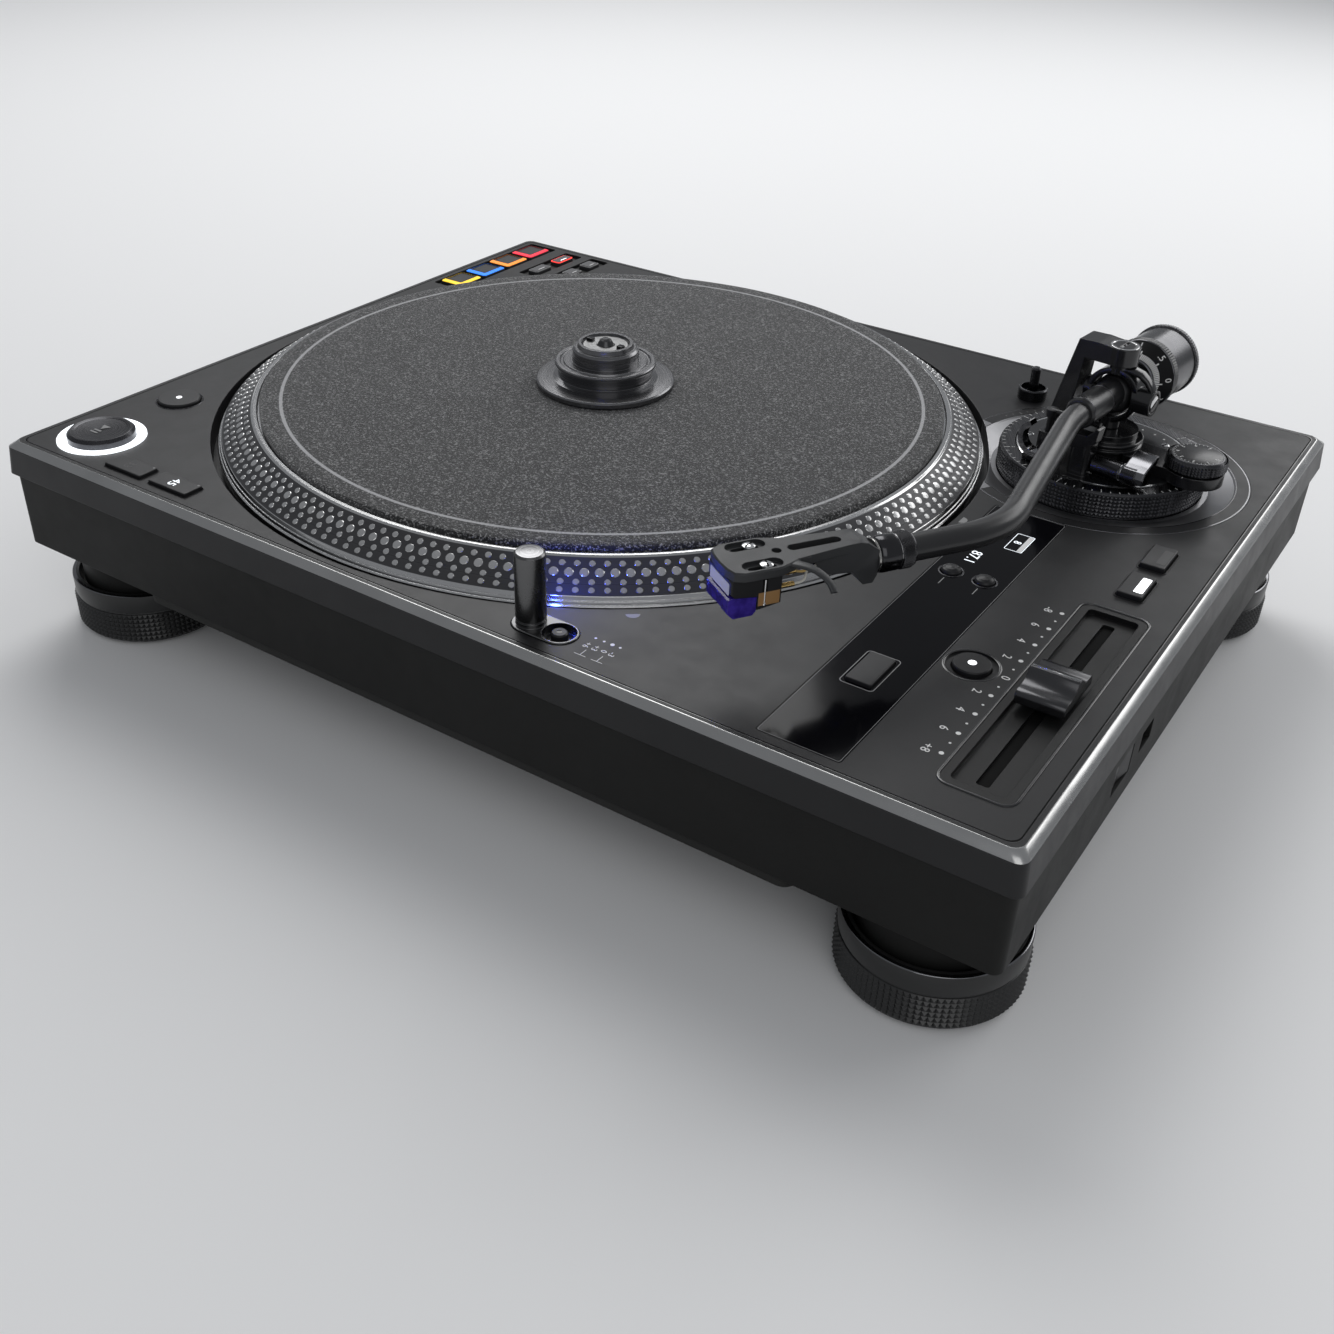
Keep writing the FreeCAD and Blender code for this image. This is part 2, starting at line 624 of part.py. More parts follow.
def panel_openings(sketch, gap):
    """Outlines of the three buttons in the control panel."""
    rectangle(sketch, size("needle_x"), size("needle_y"), size("needle_width") + gap * 2,
              size("needle_depth") + gap * 2, 1.0)
    for x in (size("round_left_x"), size("round_right_x")):
        circle(sketch, size("round_radius") + gap, x, size("round_y"))


def pad_slots(sketch, gap):
    """Outlines of the three slots for pads and small buttons."""
    for x, y, width, depth in ((size("pad_x"), PAD_SLOT_Y, PAD_SLOT_WIDTH, PAD_SLOT_DEPTH),
                               (size("mode_x"), size("mode_y"), MODE_SLOT_WIDTH, MODE_SLOT_DEPTH),
                               (size("deck_x"), size("deck_y"), DECK_SLOT_WIDTH, DECK_SLOT_DEPTH)):
        rectangle(sketch, x, y, width + gap * 2, depth + gap * 2, 1.5)


def pad_places():
    """Every pad and small button as (name, x, y, width, depth)."""
    places = []
    for number in range(4):
        y = size("pad_first_y") + PAD_PITCH * number
        places.append(("pad_%d" % (number + 1), size("pad_x"), y, size("pad_width"),
                       size("pad_depth")))
    for number, side in enumerate((-1, 1), start=1):
        y = size("mode_y") + size("mode_button_pitch") / 2 * side
        places.append(("mode_button_%d" % number, size("mode_x"), y,
                       size("mode_button_width"), size("mode_button_depth")))
        y = size("deck_y") + 0.4 + size("deck_button_pitch") / 2 * side
        places.append(("deck_button_%d" % number, size("deck_x"), y,
                       size("deck_button_width"), size("deck_button_depth")))
    return places


# Case

def top_case():
    body = new_body("top_case", z=DECK)
    lean = size("band_draft")
    run = lean + size("bevel_run")
    rims = []
    for name, height, inset in (("foot", -BAND, as_size(0)),
                                ("shoulder", -size("bevel_drop"), lean), ("top", as_size(0), run)):
        rim = sketch_on(body, name, lift=height)
        rectangle(rim, 0, 0, size("case_width") - inset * 2, size("case_depth") - inset * 2,
                  size("case_corner"))
        rims.append(rim)
    hull = body.newObject("PartDesign::AdditiveLoft", "top_case_hull")
    hull.Profile = rims[0]
    hull.Sections = rims[1:]
    hull.Ruled = True
    hollow = sketch_on(body, "hollow", lift=-BAND)
    wall = size("case_wall")
    rectangle(hollow, 0, 0, size("case_width") - wall * 2, size("case_depth") - wall * 2, 2.0)
    pocket(body, hollow, BAND - PLATE, back=True)
    floor = RECESS + size("recess_floor")
    for name, radius, x, y in (
            ("platter_bowl", RECESS_RADIUS, SPINDLE_X, SPINDLE_Y),
            ("arm_bowl", size("panel_radius") + SEAT, PIVOT_X, PIVOT_Y)):
        bowl = sketch_on(body, name, lift=-floor)
        circle(bowl, radius + size("recess_floor"), x, y)
        pad(body, bowl, floor - PLATE + 0.2)
    for name, radius, x, y in (
            ("platter_recess", RECESS_RADIUS, SPINDLE_X, SPINDLE_Y),
            ("arm_recess", size("panel_radius") + SEAT, PIVOT_X, PIVOT_Y)):
        recess = sketch_on(body, name)
        circle(recess, radius, x, y)
        pocket(body, recess, RECESS)
    panel = sketch_on(body, "panel_recess")
    rectangle(panel, size("panel_x"), size("panel_y"), size("panel_width") + SEAT * 2,
              size("panel_depth") + SEAT * 2, 1.0)
    pocket(body, panel, size("panel_thick"))
    ring = sketch_on(body, "reset_recess")
    circle(ring, size("reset_radius") + size("reset_margin"), size("reset_x"), size("reset_y"))
    pocket(body, ring, 0.8)
    holes = sketch_on(body, "holes")
    circle(holes, size("magnet_outer") + 4.0, SPINDLE_X, SPINDLE_Y)
    circle(holes, size("hub_radius") + PLAY, PIVOT_X, PIVOT_Y)
    circle(holes, START_RING + SEAT, size("start_x"), size("start_y"))
    circle(holes, size("stand_radius") - 1.5, size("stand_x"), size("stand_y"))
    stadium(holes, size("pillar_x"), size("lamp_x"), size("strobe_y"),
            size("insert_radius") + SEAT)
    rectangle(holes, size("fader_x"), size("fader_y"), size("fader_width") + SEAT * 2,
              size("fader_depth") + SEAT * 2, 4.0)
    button_openings(holes, PLAY)
    panel_openings(holes, PLAY)
    pad_slots(holes, as_size(0))
    pocket(body, holes)
    return body


def lower_case():
    body = new_body("lower_case", z=DECK)
    inset = size("lower_inset")
    corner = size("case_corner")
    outline = sketch_on(body, "outline", lift=-LOWER_BOTTOM)
    rectangle(outline, 0, 0, size("case_width") - inset * 2, size("case_depth") - inset * 2, corner)
    pad(body, outline, size("lower_height"))
    inner = size("tongue_inset")
    tongue = sketch_on(body, "tongue", lift=-LOWER_TOP)
    rectangle(tongue, 0, 0, size("case_width") - inner * 2, size("case_depth") - inner * 2, corner)
    pad(body, tongue, size("tongue_rise"))
    wall = inner + size("lower_wall")
    rise = size("tongue_rise")
    hollow = sketch_on(body, "hollow", lift=rise - LOWER_TOP)
    rectangle(hollow, 0, 0, size("case_width") - wall * 2, size("case_depth") - wall * 2, 2.0)
    pocket(body, hollow, size("lower_height") - size("lower_wall") + rise)
    bosses = sketch_on(body, "bosses", lift=-(LOWER_BOTTOM + size("boss_drop")))
    wells = sketch_on(body, "wells", lift=-FLOOR_TOP + 0.2)
    stems = sketch_on(body, "stems", lift=-FLOOR_TOP)
    for _, across, along in FEET:
        x = size("foot_across") / 2 * across
        y = size("foot_along") / 2 * along
        circle(bosses, size("boss_radius"), x, y)
        circle(wells, size("boss_radius") - 3.5, x, y)
        circle(stems, size("stem_radius") + BEARING, x, y)
    pad(body, bosses, size("boss_drop") + size("lower_wall") - 0.2)
    pocket(body, wells, size("boss_drop") + size("lower_wall") - 4.8)
    pocket(body, stems)
    service = sketch_on(body, "service", lift=-FLOOR_TOP + 1.0)
    rectangle(service, 0, 0, size("pan_half_width") * 2 - 14.0,
              size("case_depth") - inset * 2 - size("pan_front") * 2 - 14.0, 5.0)
    pocket(body, service, size("lower_wall") + 2.0)
    side_wall = CASE_HALF_WIDTH - inset
    socket = sketch_on(body, "port_block", "YZ_Plane", side_wall - 11.0)
    rectangle(socket, size("port_y"), -size("switch_drop"), 18.0, 14.0, 1.0)
    pad(body, socket, 10.0)
    port = sketch_on(body, "port", "YZ_Plane", side_wall + 1.0)
    rectangle(port, size("port_y"), -size("switch_drop"), 12.2, 8.4, 0.8)
    pocket(body, port, 10.0)
    switch = sketch_on(body, "switch", "YZ_Plane", side_wall + 1.0)
    rectangle(switch, size("switch_y"), -size("switch_drop"), size("switch_length") + 1.6,
              size("switch_width") + 1.0, 0.8)
    pocket(body, switch, size("lower_wall") + 4.0)
    rear = sketch_on(body, "rear", "XZ_Plane", -(CASE_HALF_DEPTH - inset + 1.0))
    for x, width, height in (("inlet_x", "inlet_width", "inlet_height"),
                             ("jack_x", "jack_block_width", "jack_block_height")):
        rectangle(rear, size(x), -size("switch_drop"), size(width) + SEAT * 2,
                  size(height) + SEAT * 2, 1.5)
    pocket(body, rear, size("lower_wall") + 4.0, back=True)
    return body


def bottom_cover():
    body = new_body("bottom_cover", z=DECK)
    depth = size("case_depth") - size("lower_inset") * 2 - size("pan_front") * 2
    width = size("pan_half_width") * 2
    outline = sketch_on(body, "outline", lift=-PAN_BOTTOM)
    rectangle(outline, 0, 0, width, depth, 6.0)
    block = pad(body, outline, size("pan_drop"))
    soften(body, block, 1.2, at_height(-PAN_BOTTOM), flat=True)
    hollow = sketch_on(body, "hollow", lift=-LOWER_BOTTOM)
    wall = size("pan_wall")
    rectangle(hollow, 0, 0, width - wall * 2, depth - wall * 2, 4.0)
    pocket(body, hollow, size("pan_drop") - 2.0)
    vents = sketch_on(body, "vents", lift=-LOWER_BOTTOM)
    for number in range(8):
        rectangle(vents, 60.0 + 9.0 * number, 110.0, 3.6, 46.0, 1.7)
    pocket(body, vents, size("pan_drop") + 1.0)
    return body


def arm_base_panel():
    lip = size("panel_lip")
    dish = size("panel_dish")
    outer = size("panel_radius")
    inner = size("ring_radius") + size("ring_gap")
    body = turned("arm_base_panel", [
        (outer, 0), (lip, 0), (lip - 0.5, -0.6), (inner + 2.2, -dish), (inner, -dish),
        (inner, -RECESS), (outer, -RECESS)], PIVOT_X, PIVOT_Y, DECK)
    bite = sketch_on(body, "platter_bite")
    circle(bite, RECESS_RADIUS, SPINDLE_X - PIVOT_X, SPINDLE_Y - PIVOT_Y)
    pocket(body, bite)
    return body


def control_panel():
    body = new_body("control_panel", z=DECK)
    outline = sketch_on(body, "outline", lift=-size("panel_thick"))
    rectangle(outline, size("panel_x"), size("panel_y"), size("panel_width"),
              size("panel_depth"), 1.0)
    pad(body, outline, size("panel_thick"))
    holes = sketch_on(body, "holes")
    panel_openings(holes, PLAY)
    pocket(body, holes)
    return body


def pad_tray():
    """Frame under the plate that guides the pads and small buttons."""
    body = new_body("pad_tray", z=DECK)
    base = sketch_on(body, "base", lift=-PLATE - 4.3)
    left = size("pad_x") - PAD_SLOT_WIDTH / 2 - size("tray_left")
    right = size("deck_x") + DECK_SLOT_WIDTH / 2 + size("tray_right")
    front = PAD_SLOT_Y - PAD_SLOT_DEPTH / 2 - size("tray_front")
    back = PAD_SLOT_Y + PAD_SLOT_DEPTH / 2 + size("tray_back")
    rectangle(base, (left + right) / 2, (front + back) / 2, right - left, back - front, 2.0)
    pad(body, base, 4.0)
    bite = sketch_on(body, "bowl_bite", lift=0)
    circle(bite, RECESS_RADIUS + size("recess_floor") + 0.7, SPINDLE_X, SPINDLE_Y)
    pocket(body, bite)
    risers = sketch_on(body, "risers", lift=-PLATE - 0.4)
    pad_slots(risers, -SEAT)
    pad(body, risers, PLATE - 1.2)
    holes = sketch_on(body, "holes", lift=0)
    for _, x, y, width, depth in pad_places():
        rectangle(holes, x, y, width + PLAY * 2, depth + PLAY * 2, 1.2)
    pocket(body, holes)
    return body


def pitch_fader():
    """Tray of the pitch fader with the slide track under it."""
    x, y = size("fader_x"), size("fader_y")
    body = new_body("pitch_fader", x, y, DECK)
    tray = sketch_on(body, "tray", lift=-PLATE - 2.0)
    rectangle(tray, 0, 0, size("fader_width"), size("fader_depth"), 4.0)
    pad(body, tray, PLATE + 2.0)
    track = sketch_on(body, "track", lift=-20.0)
    rectangle(track, 0, 0, 15.0, size("fader_depth") - 2.0, 1.0)
    pad(body, track, 20.0 - PLATE - 1.0)
    floor = sketch_on(body, "floor")
    rectangle(floor, 0, 0, size("fader_width") - 5.8, size("fader_depth") - 5.8, 2.0)
    pocket(body, floor, 2.0)
    slot = sketch_on(body, "slot")
    length = size("fader_travel") + size("fader_stem") + 1.6
    rectangle(slot, 0, 0, size("fader_slot"), length, 1.0)
    pocket(body, slot, 14.0)
    return body


def start_light_ring():
    inner = size("start_radius") + PLAY
    outer = START_RING
    return turned("start_light_ring", [
        (inner, -PLATE - 2.4), (outer + 2.4, -PLATE - 2.4), (outer + 2.4, -PLATE - 0.2),
        (outer, -PLATE - 0.2), (outer, 0.6), (outer - 0.4, 1.0), (outer - 2.4, 1.0),
        (outer - 2.6, 0.3), (inner, 0.3)], size("start_x"), size("start_y"), DECK)


def strobe_pillar():
    """Insert beside the platter with the strobe pillar and the well of the pop-up lamp."""
    body = new_body("strobe_pillar", size("pillar_x"), size("strobe_y"), DECK)
    reach = size("lamp_x") - size("pillar_x")
    base = sketch_on(body, "base", lift=-PLATE - 1.0)
    stadium(base, 0, reach, 0, size("insert_radius"))
    plate = pad(body, base, PLATE + 1.6)
    soften(body, plate, 0.4, at_height(0.6))
    guide = sketch_on(body, "guide", lift=-39.0)
    circle(guide, size("lamp_radius") + 1.8, reach, 0)
    pad(body, guide, 36.0)
    post = sketch_on(body, "post", lift=0)
    circle(post, size("pillar_radius"))
    column = pad(body, post, size("pillar_rise"))
    soften(body, column, 0.7, at_height(size("pillar_rise")), flat=True)
    waist = sketch_on(body, "waist", lift=2.2)
    circle(waist, size("pillar_radius") + 1.0)
    circle(waist, size("pillar_radius") - 0.5)
    pocket(body, waist, 0.8, back=True)
    window = sketch_on(body, "window", "YZ_Plane", size("pillar_radius") - 1.4)
    rectangle(window, 0, 7.2, 4.4, 4.4, 1.0)
    pocket(body, window, 4.0, back=True)
    well = sketch_on(body, "well", lift=1.0)
    circle(well, size("well_radius"), reach, 0)
    pocket(body, well, 4.0)
    bore = sketch_on(body, "bore", lift=0)
    circle(bore, size("lamp_radius") + BEARING, reach, 0)
    pocket(body, bore)
    return body


def headshell_stand():
    """Cup with a pin that holds a spare headshell."""
    outer = size("stand_radius")
    pin = size("stand_pin")
    return turned("headshell_stand", [
        (0, -PLATE - 2.0), (outer - 1.7, -PLATE - 2.0), (outer - 1.7, 0.05), (outer, 0.05),
        (outer, 4.6), (outer - 0.5, 5.1), (outer - 1.1, 5.1), (outer - 1.1, 2.0), (pin, 2.0),
        (pin, 13.9), (pin - 0.7, 14.6), (0, 14.6)], size("stand_x"), size("stand_y"), DECK)


# Drive

def stator():
    """Base plate of the motor with nine slots in its ring of poles."""
    inner = size("spindle_radius") + 12.0
    gap_radius = size("magnet_inner") - 1.2
    outer = size("magnet_outer") + 9.0
    under = RECESS + size("recess_floor")
    body = turned("stator", [
        (inner, -under - 3.0), (outer, -under - 3.0), (outer, -under), (inner + 9.0, -under),
        (inner + 9.0, -RECESS), (gap_radius, -RECESS), (gap_radius, 1.0), (inner, 1.0)],
        SPINDLE_X, SPINDLE_Y, DECK)
    slot = sketch_on(body, "slot", lift=2.0)
    rectangle(slot, (gap_radius + inner) / 2 + 6.0, 0, gap_radius - inner - 8.0, 5.0, 1.0)
    cut = pocket(body, slot, 12.0)
    round_pattern(body, [cut], slot, 9)
    return body


def spindle_bearing():
    bore = size("spindle_radius") + BEARING
    outer = size("spindle_radius") + 5.4
    under = RECESS + size("recess_floor") + 3.0
    return turned("spindle_bearing", [
        (0, -46.0), (outer - 2.0, -46.0), (outer, -44.0), (outer, -under - 3.0),
        (outer + 8.0, -under - 3.0), (outer + 8.0, -under), (outer, -under), (outer, -5.2),
        (bore, -5.2), (bore, -44.0), (0, -44.0)], SPINDLE_X, SPINDLE_Y, DECK)


def spindle():
    shaft = size("spindle_radius")
    tip = size("spindle_rise")
    return turned("spindle", [
        (0, -43.8), (shaft, -43.8), (shaft, -5.0), (shaft + 5.0, -5.0), (shaft + 5.0, -2.1),
        (shaft, -2.1), (shaft, tip - 3.0), (shaft - 1.0, tip - 0.8), (shaft - 2.4, tip),
        (0, tip)], SPINDLE_X, SPINDLE_Y, DECK)


def platter():
    """Cast platter: hub, web, rim with a stepped flange, sloped strobe band and mat recess."""
    bore = size("spindle_radius") + BEARING
    face = size("platter_face")
    web = face - size("platter_web")
    outer = size("platter_radius")
    top = -size("flange_top")
    low_r, low_z = BAND_FOOT, size("band_foot_rise")
    high_r, high_z = BAND_HEAD, size("band_head_rise")
    rim = MAT_RADIUS + 0.5
    body = turned("platter", [
        (bore, -2.0), (12.0, -2.0), (14.0, web), (rim - 5.0, web), (rim - 1.5, web - 3.0),
        (rim + 0.5, top - size("flange_thick") - 0.6), (outer - 1.0, top - size("flange_thick")),
        (outer, top - size("flange_thick") + 1.0), (outer, top - 0.5), (outer - 0.5, top),
        (low_r + 1.3, top), (low_r + 0.9, 0.5), (low_r + 0.5, 0.5), (low_r, low_z),
        (high_r, high_z), (high_r - 0.6, high_z + 0.5), (rim + 0.4, high_z + 0.5),
        (rim, high_z + 0.1), (rim, face), (bore, face)], SPINDLE_X, SPINDLE_Y, DECK)
    rib = sketch_on(body, "rib", lift=web - 5.0)
    length = rim - 6.0 - size("magnet_outer") - 3.0
    rectangle(rib, size("magnet_outer") + 2.0 + length / 2, 0, length, 3.0, 0.5)
    wing = pad(body, rib, 5.5)
    round_pattern(body, [wing], rib, 12)
    return body


def rotor_magnet():
    web = size("platter_face") - size("platter_web")
    inner, outer = size("magnet_inner"), size("magnet_outer")
    return turned("rotor_magnet", [
        (inner, web - 11.0), (outer, web - 11.0), (outer, web), (inner, web)],
        SPINDLE_X, SPINDLE_Y, DECK)


def slipmat():
    low = size("platter_face") + 0.3
    high = low + size("mat_thick")
    hole = size("spindle_radius") + 0.3
    edge = MAT_RADIUS
    return turned("slipmat", [(hole, low), (edge, low), (edge, high), (hole, high)],
                  SPINDLE_X, SPINDLE_Y, DECK)


def puck():
    """Record weight: base disc, drawn-in body, ringed flange and dished head."""
    foot = size("platter_face") + 0.3 + size("mat_thick") + 0.2
    head = foot + size("puck_height")
    base, flange, neck = size("puck_radius"), size("puck_flange"), size("puck_neck")
    bore = size("spindle_radius") + BEARING + 0.02
    body = turned("puck", [
        (bore, foot), (base - 0.8, foot), (base, foot + 0.8), (base, foot + 2.6),
        (base - 0.6, foot + 3.2), (base - 7.5, foot + 3.6), (base - 9.8, foot + 4.6),
        (flange - 1.4, foot + 6.5), (flange - 0.6, foot + 9.0), (flange, foot + 9.8),
        (flange, foot + 10.6), (flange - 0.5, foot + 11.1), (flange - 2.2, foot + 11.1),
        (flange - 2.6, foot + 10.4), (flange - 3.6, foot + 10.4), (flange - 4.0, foot + 11.1),
        (neck, foot + 11.1), (neck, head - 3.0), (neck - 1.0, head - 2.0),
        (neck - 2.2, head - 2.0), (neck - 2.6, head), (neck - 4.0, head),
        (neck - 5.0, head - 4.5), (bore + 2.0, head - 5.5), (bore, head - 5.5)],
        SPINDLE_X, SPINDLE_Y, DECK)
    tab = sketch_on(body, "tab", lift=head - 6.0)
    rectangle(tab, neck - 5.2, 0, 3.0, 2.4, 0.4)
    wing = pad(body, tab, 4.2)
    round_pattern(body, [wing], tab, 2)
    return body


def power_supply():
    """Mains transformer on its bracket, inside the rear of the case."""
    body = new_body("power_supply", size("supply_x"), size("supply_y"), DECK)
    floor = PAN_BOTTOM - 2.0
    bracket = sketch_on(body, "bracket", lift=-floor)
    rectangle(bracket, 0, 0, 86.0, 46.0, 3.0)
    pad(body, bracket, 2.0)
    core = sketch_on(body, "core", lift=-floor + 1.5)
    rectangle(core, 0, 0, 54.0, 42.0, 1.0)
    pad(body, core, 26.0)
    coil = sketch_on(body, "coil", lift=-floor + 5.0)
    rectangle(coil, 0, 0, 36.0, 56.0, 5.0)
    pad(body, coil, 19.0)
    return body


# Feet and side fittings

def foot(name, across, along):
    """Height-adjustable foot: cup, knurled grip, sole and screw."""
    rim = size("foot_radius")
    grip = size("foot_grip_radius")
    top = DECK - size("foot_rim_drop")
    well = size("boss_radius") + 1.6
    sole = size("foot_pad")
    stem = size("stem_radius")
    floor = DECK - LOWER_BOTTOM - size("boss_drop") - 3.6
    reach = DECK - LOWER_BOTTOM - size("boss_drop") + 4.8
    body = turned("foot_" + name, [
        (0, 0), (rim - 3.0, 0), (rim - 2.4, sole - 0.2), (grip - 1.2, sole), (grip, sole + 1.2),
        (grip, top - 9.2), (rim - 0.6, top - 8.6), (rim, top - 8.0), (rim, top - 0.6),
        (rim - 0.6, top), (well, top), (well, floor), (stem, floor), (stem, reach),
        (0, reach)], size("foot_across") / 2 * across, size("foot_along") / 2 * along, 0)
    knurl(body, grip, 1.1, sole + 1.0, top - 9.8 - sole, 36)
    return body


def power_switch():
    """Rocker in the right wall."""
    wall = CASE_HALF_WIDTH - size("lower_inset")
    body = new_body("power_switch", wall - 5.0, size("switch_y"), DECK - size("switch_drop"))
    half = size("switch_length") / 2
    outline = sketch_on(body, "outline", "XY_Plane", -size("switch_width") / 2)
    polygon(outline, [(-5.0, -5.0), (-5.0, 5.0), (1.0, half), (4.9, half), (3.6, 0), (4.4, -half),
                      (1.0, -half)])
    pad(body, outline, size("switch_width"))
    return body


def power_inlet():
    """Mains inlet with three blades, in the rear wall."""
    wall = CASE_HALF_DEPTH - size("lower_inset")
    body = new_body("power_inlet", size("inlet_x"), wall - 0.6, DECK - size("switch_drop"))
    shell = sketch_on(body, "shell", "XZ_Plane", 0)
    rectangle(shell, 0, 0, size("inlet_width"), size("inlet_height"), 1.5)
    pad(body, shell, 20.0)
    throat = sketch_on(body, "throat", "XZ_Plane", 0)
    rectangle(throat, 0, 0, size("inlet_width") - 5.0, size("inlet_height") - 5.0, 3.0)
    pocket(body, throat, 16.0, back=True)
    blades = sketch_on(body, "blades", "XZ_Plane", 8.0)
    for x, z in ((-7.0, -1.5), (0.0, 2.8), (7.0, -1.5)):
        rectangle(blades, x, z, 2.0, 4.0, 0.3)
    pad(body, blades, 9.0)
    return body


def audio_terminals():
    """Block of sound sockets with a ground post, in the rear wall."""
    wall = CASE_HALF_DEPTH - size("lower_inset")
    body = new_body("audio_terminals", size("jack_x"), wall - 9.0, DECK - size("switch_drop"))
    width, height = size("jack_block_width"), size("jack_block_height")
    block = sketch_on(body, "block", "XZ_Plane", 0)
    rectangle(block, 0, 0, width, height, 1.5)
    pad(body, block, 12.0)
    recess = sketch_on(body, "surround", "XZ_Plane", -8.4)
    rectangle(recess, 0, 0, width, height, 1.5)
    rectangle(recess, 0, 0, width - 3.0, height - 3.0, 1.2)
    pad(body, recess, 9.0)
    sleeves = sketch_on(body, "sleeves", "XZ_Plane", -8.0)
    for number in range(3):
        circle(sleeves, 4.2, size("jack_pitch") * (number - 1.45), 0)
        circle(sleeves, 1.7, size("jack_pitch") * (number - 1.45), 0)
    pad(body, sleeves, 8.5)
    post = sketch_on(body, "post", "XZ_Plane", -7.4)
    circle(post, 4.4, size("jack_pitch") * 1.6, 0)
    pad(body, post, 8.0)
    return body


# Buttons and the pitch fader

def round_button(label, x, y, radius, top, chamfer):
    """A round button with a flat top and a small chamfer."""
    top = as_size(top)
    return turned(label, [
        (0, -PLATE - 4.0), (radius, -PLATE - 4.0), (radius, top - chamfer),
        (radius - chamfer, top), (0, top)], x, y, DECK)


def key_button(label, x, y, width, depth, top, edge):
    """A button with a rounded top edge."""
    body = new_body(label, x, y, DECK)
    outline = sketch_on(body, "outline", lift=-PLATE - 4.0)
    rectangle(outline, 0, 0, width, depth, 0.9)
    block = pad(body, outline, PLATE + 4.0 + top)
    soften(body, block, edge, at_height(top))
    return body


def start_button():
    radius = size("start_radius")
    return turned("start_button", [
        (0, -PLATE - 5.0), (radius, -PLATE - 5.0), (radius, 2.6), (radius - 1.2, 3.8),
        (radius - 2.6, 3.8), (radius - 3.6, 3.5), (0, 3.3)], size("start_x"), size("start_y"), DECK)


def buttons():
    start_button()
    round_button("motor_off_button", size("off_x"), size("off_y"), size("off_radius"), 1.5, 0.5)
    round_button("reset_button", size("reset_x"), size("reset_y"), size("reset_radius"), 1.0, 0.4)
    key_button("speed_low_button", size("speed_low_x"), size("speed_y"), size("speed_width"),
               size("speed_depth"), 1.5, 0.4)
    key_button("speed_high_button", size("speed_high_x"), size("speed_y"), size("speed_width"),
               size("speed_depth"), 1.5, 0.4)
    key_button("pitch_range_button", size("square_x"), size("range_y"), size("square_width"),
               size("square_depth"), 2.0, 0.5)
    key_button("key_lock_button", size("square_x"), size("key_y"), size("square_width"),
               size("square_depth"), 2.0, 0.5)
    key_button("needle_button", size("needle_x"), size("needle_y"), size("needle_width"),
               size("needle_depth"), 1.2, 0.4)
    for label, x in (("panel_button_left", size("round_left_x")),
                     ("panel_button_right", size("round_right_x"))):
        radius = size("round_radius")
        turned(label, [(0, -PLATE - 4.0), (radius, -PLATE - 4.0), (radius, 0.6),
                       (radius - 0.5, 1.3), (radius - 1.6, 1.9), (0, 2.2)],
               x, size("round_y"), DECK)
    for label, x, y, width, depth in pad_places():
        top = 0.4 if label.startswith("pad") else 0.5
        key_button(label, x, y, width, depth, top, 0.6)


def fader_knob():
    """Fader knob with a raised ridge across its middle and a scoop before and behind it."""
    body = new_body("fader_knob", size("fader_x"), size("fader_y"), DECK)
    rise = size("knob_rise")
    half = size("knob_depth") / 2
    side = sketch_on(body, "side", "YZ_Plane", 0)
    polygon(side, [
        (-half, 0.7), (half, 0.7), (half, 5.4), (half - 1.2, 6.6), (half - 2.6, 6.4),
        (half - 5.2, 4.6), (half - 8.2, 4.4), (2.2, 7.0), (0.9, rise), (-0.9, rise), (-2.2, 7.0),
        (-half + 8.2, 4.4), (-half + 5.2, 4.6), (-half + 2.6, 6.4), (-half + 1.2, 6.6),
        (-half, 5.4)])
    pad(body, side, size("knob_width"), middle=True)
    stem = sketch_on(body, "stem", lift=-13.0)
    rectangle(stem, 0, 0, size("fader_slot") - 0.8, size("fader_stem"), 0.6)
    pad(body, stem, 14.0)
    return body


def target_lamp():
    """Lamp on a post that rises out of its well."""
    radius = size("lamp_radius")
    return turned("target_lamp", [
        (0, 0.9 - size("lamp_length")), (radius, 0.9 - size("lamp_length")), (radius, 0.4),
        (radius - 0.5, 0.9), (0, 0.9)], size("lamp_x"), size("strobe_y"), DECK)


# Arm base

def height_ring():
    outer = size("ring_radius")
    inner = size("platform_radius") + PLAY
    top = size("ring_rise")
    body = turned("height_ring", [
        (inner, 0.3 - RECESS), (outer, 0.3 - RECESS), (outer, top - 0.7), (outer - 0.7, top),
        (inner, top)], PIVOT_X, PIVOT_Y, DECK)
    low = 0.8 - size("panel_dish")
    knurl(body, outer, 0.8, low, size("ring_rise") - 1.2 - low, 60)
    return body


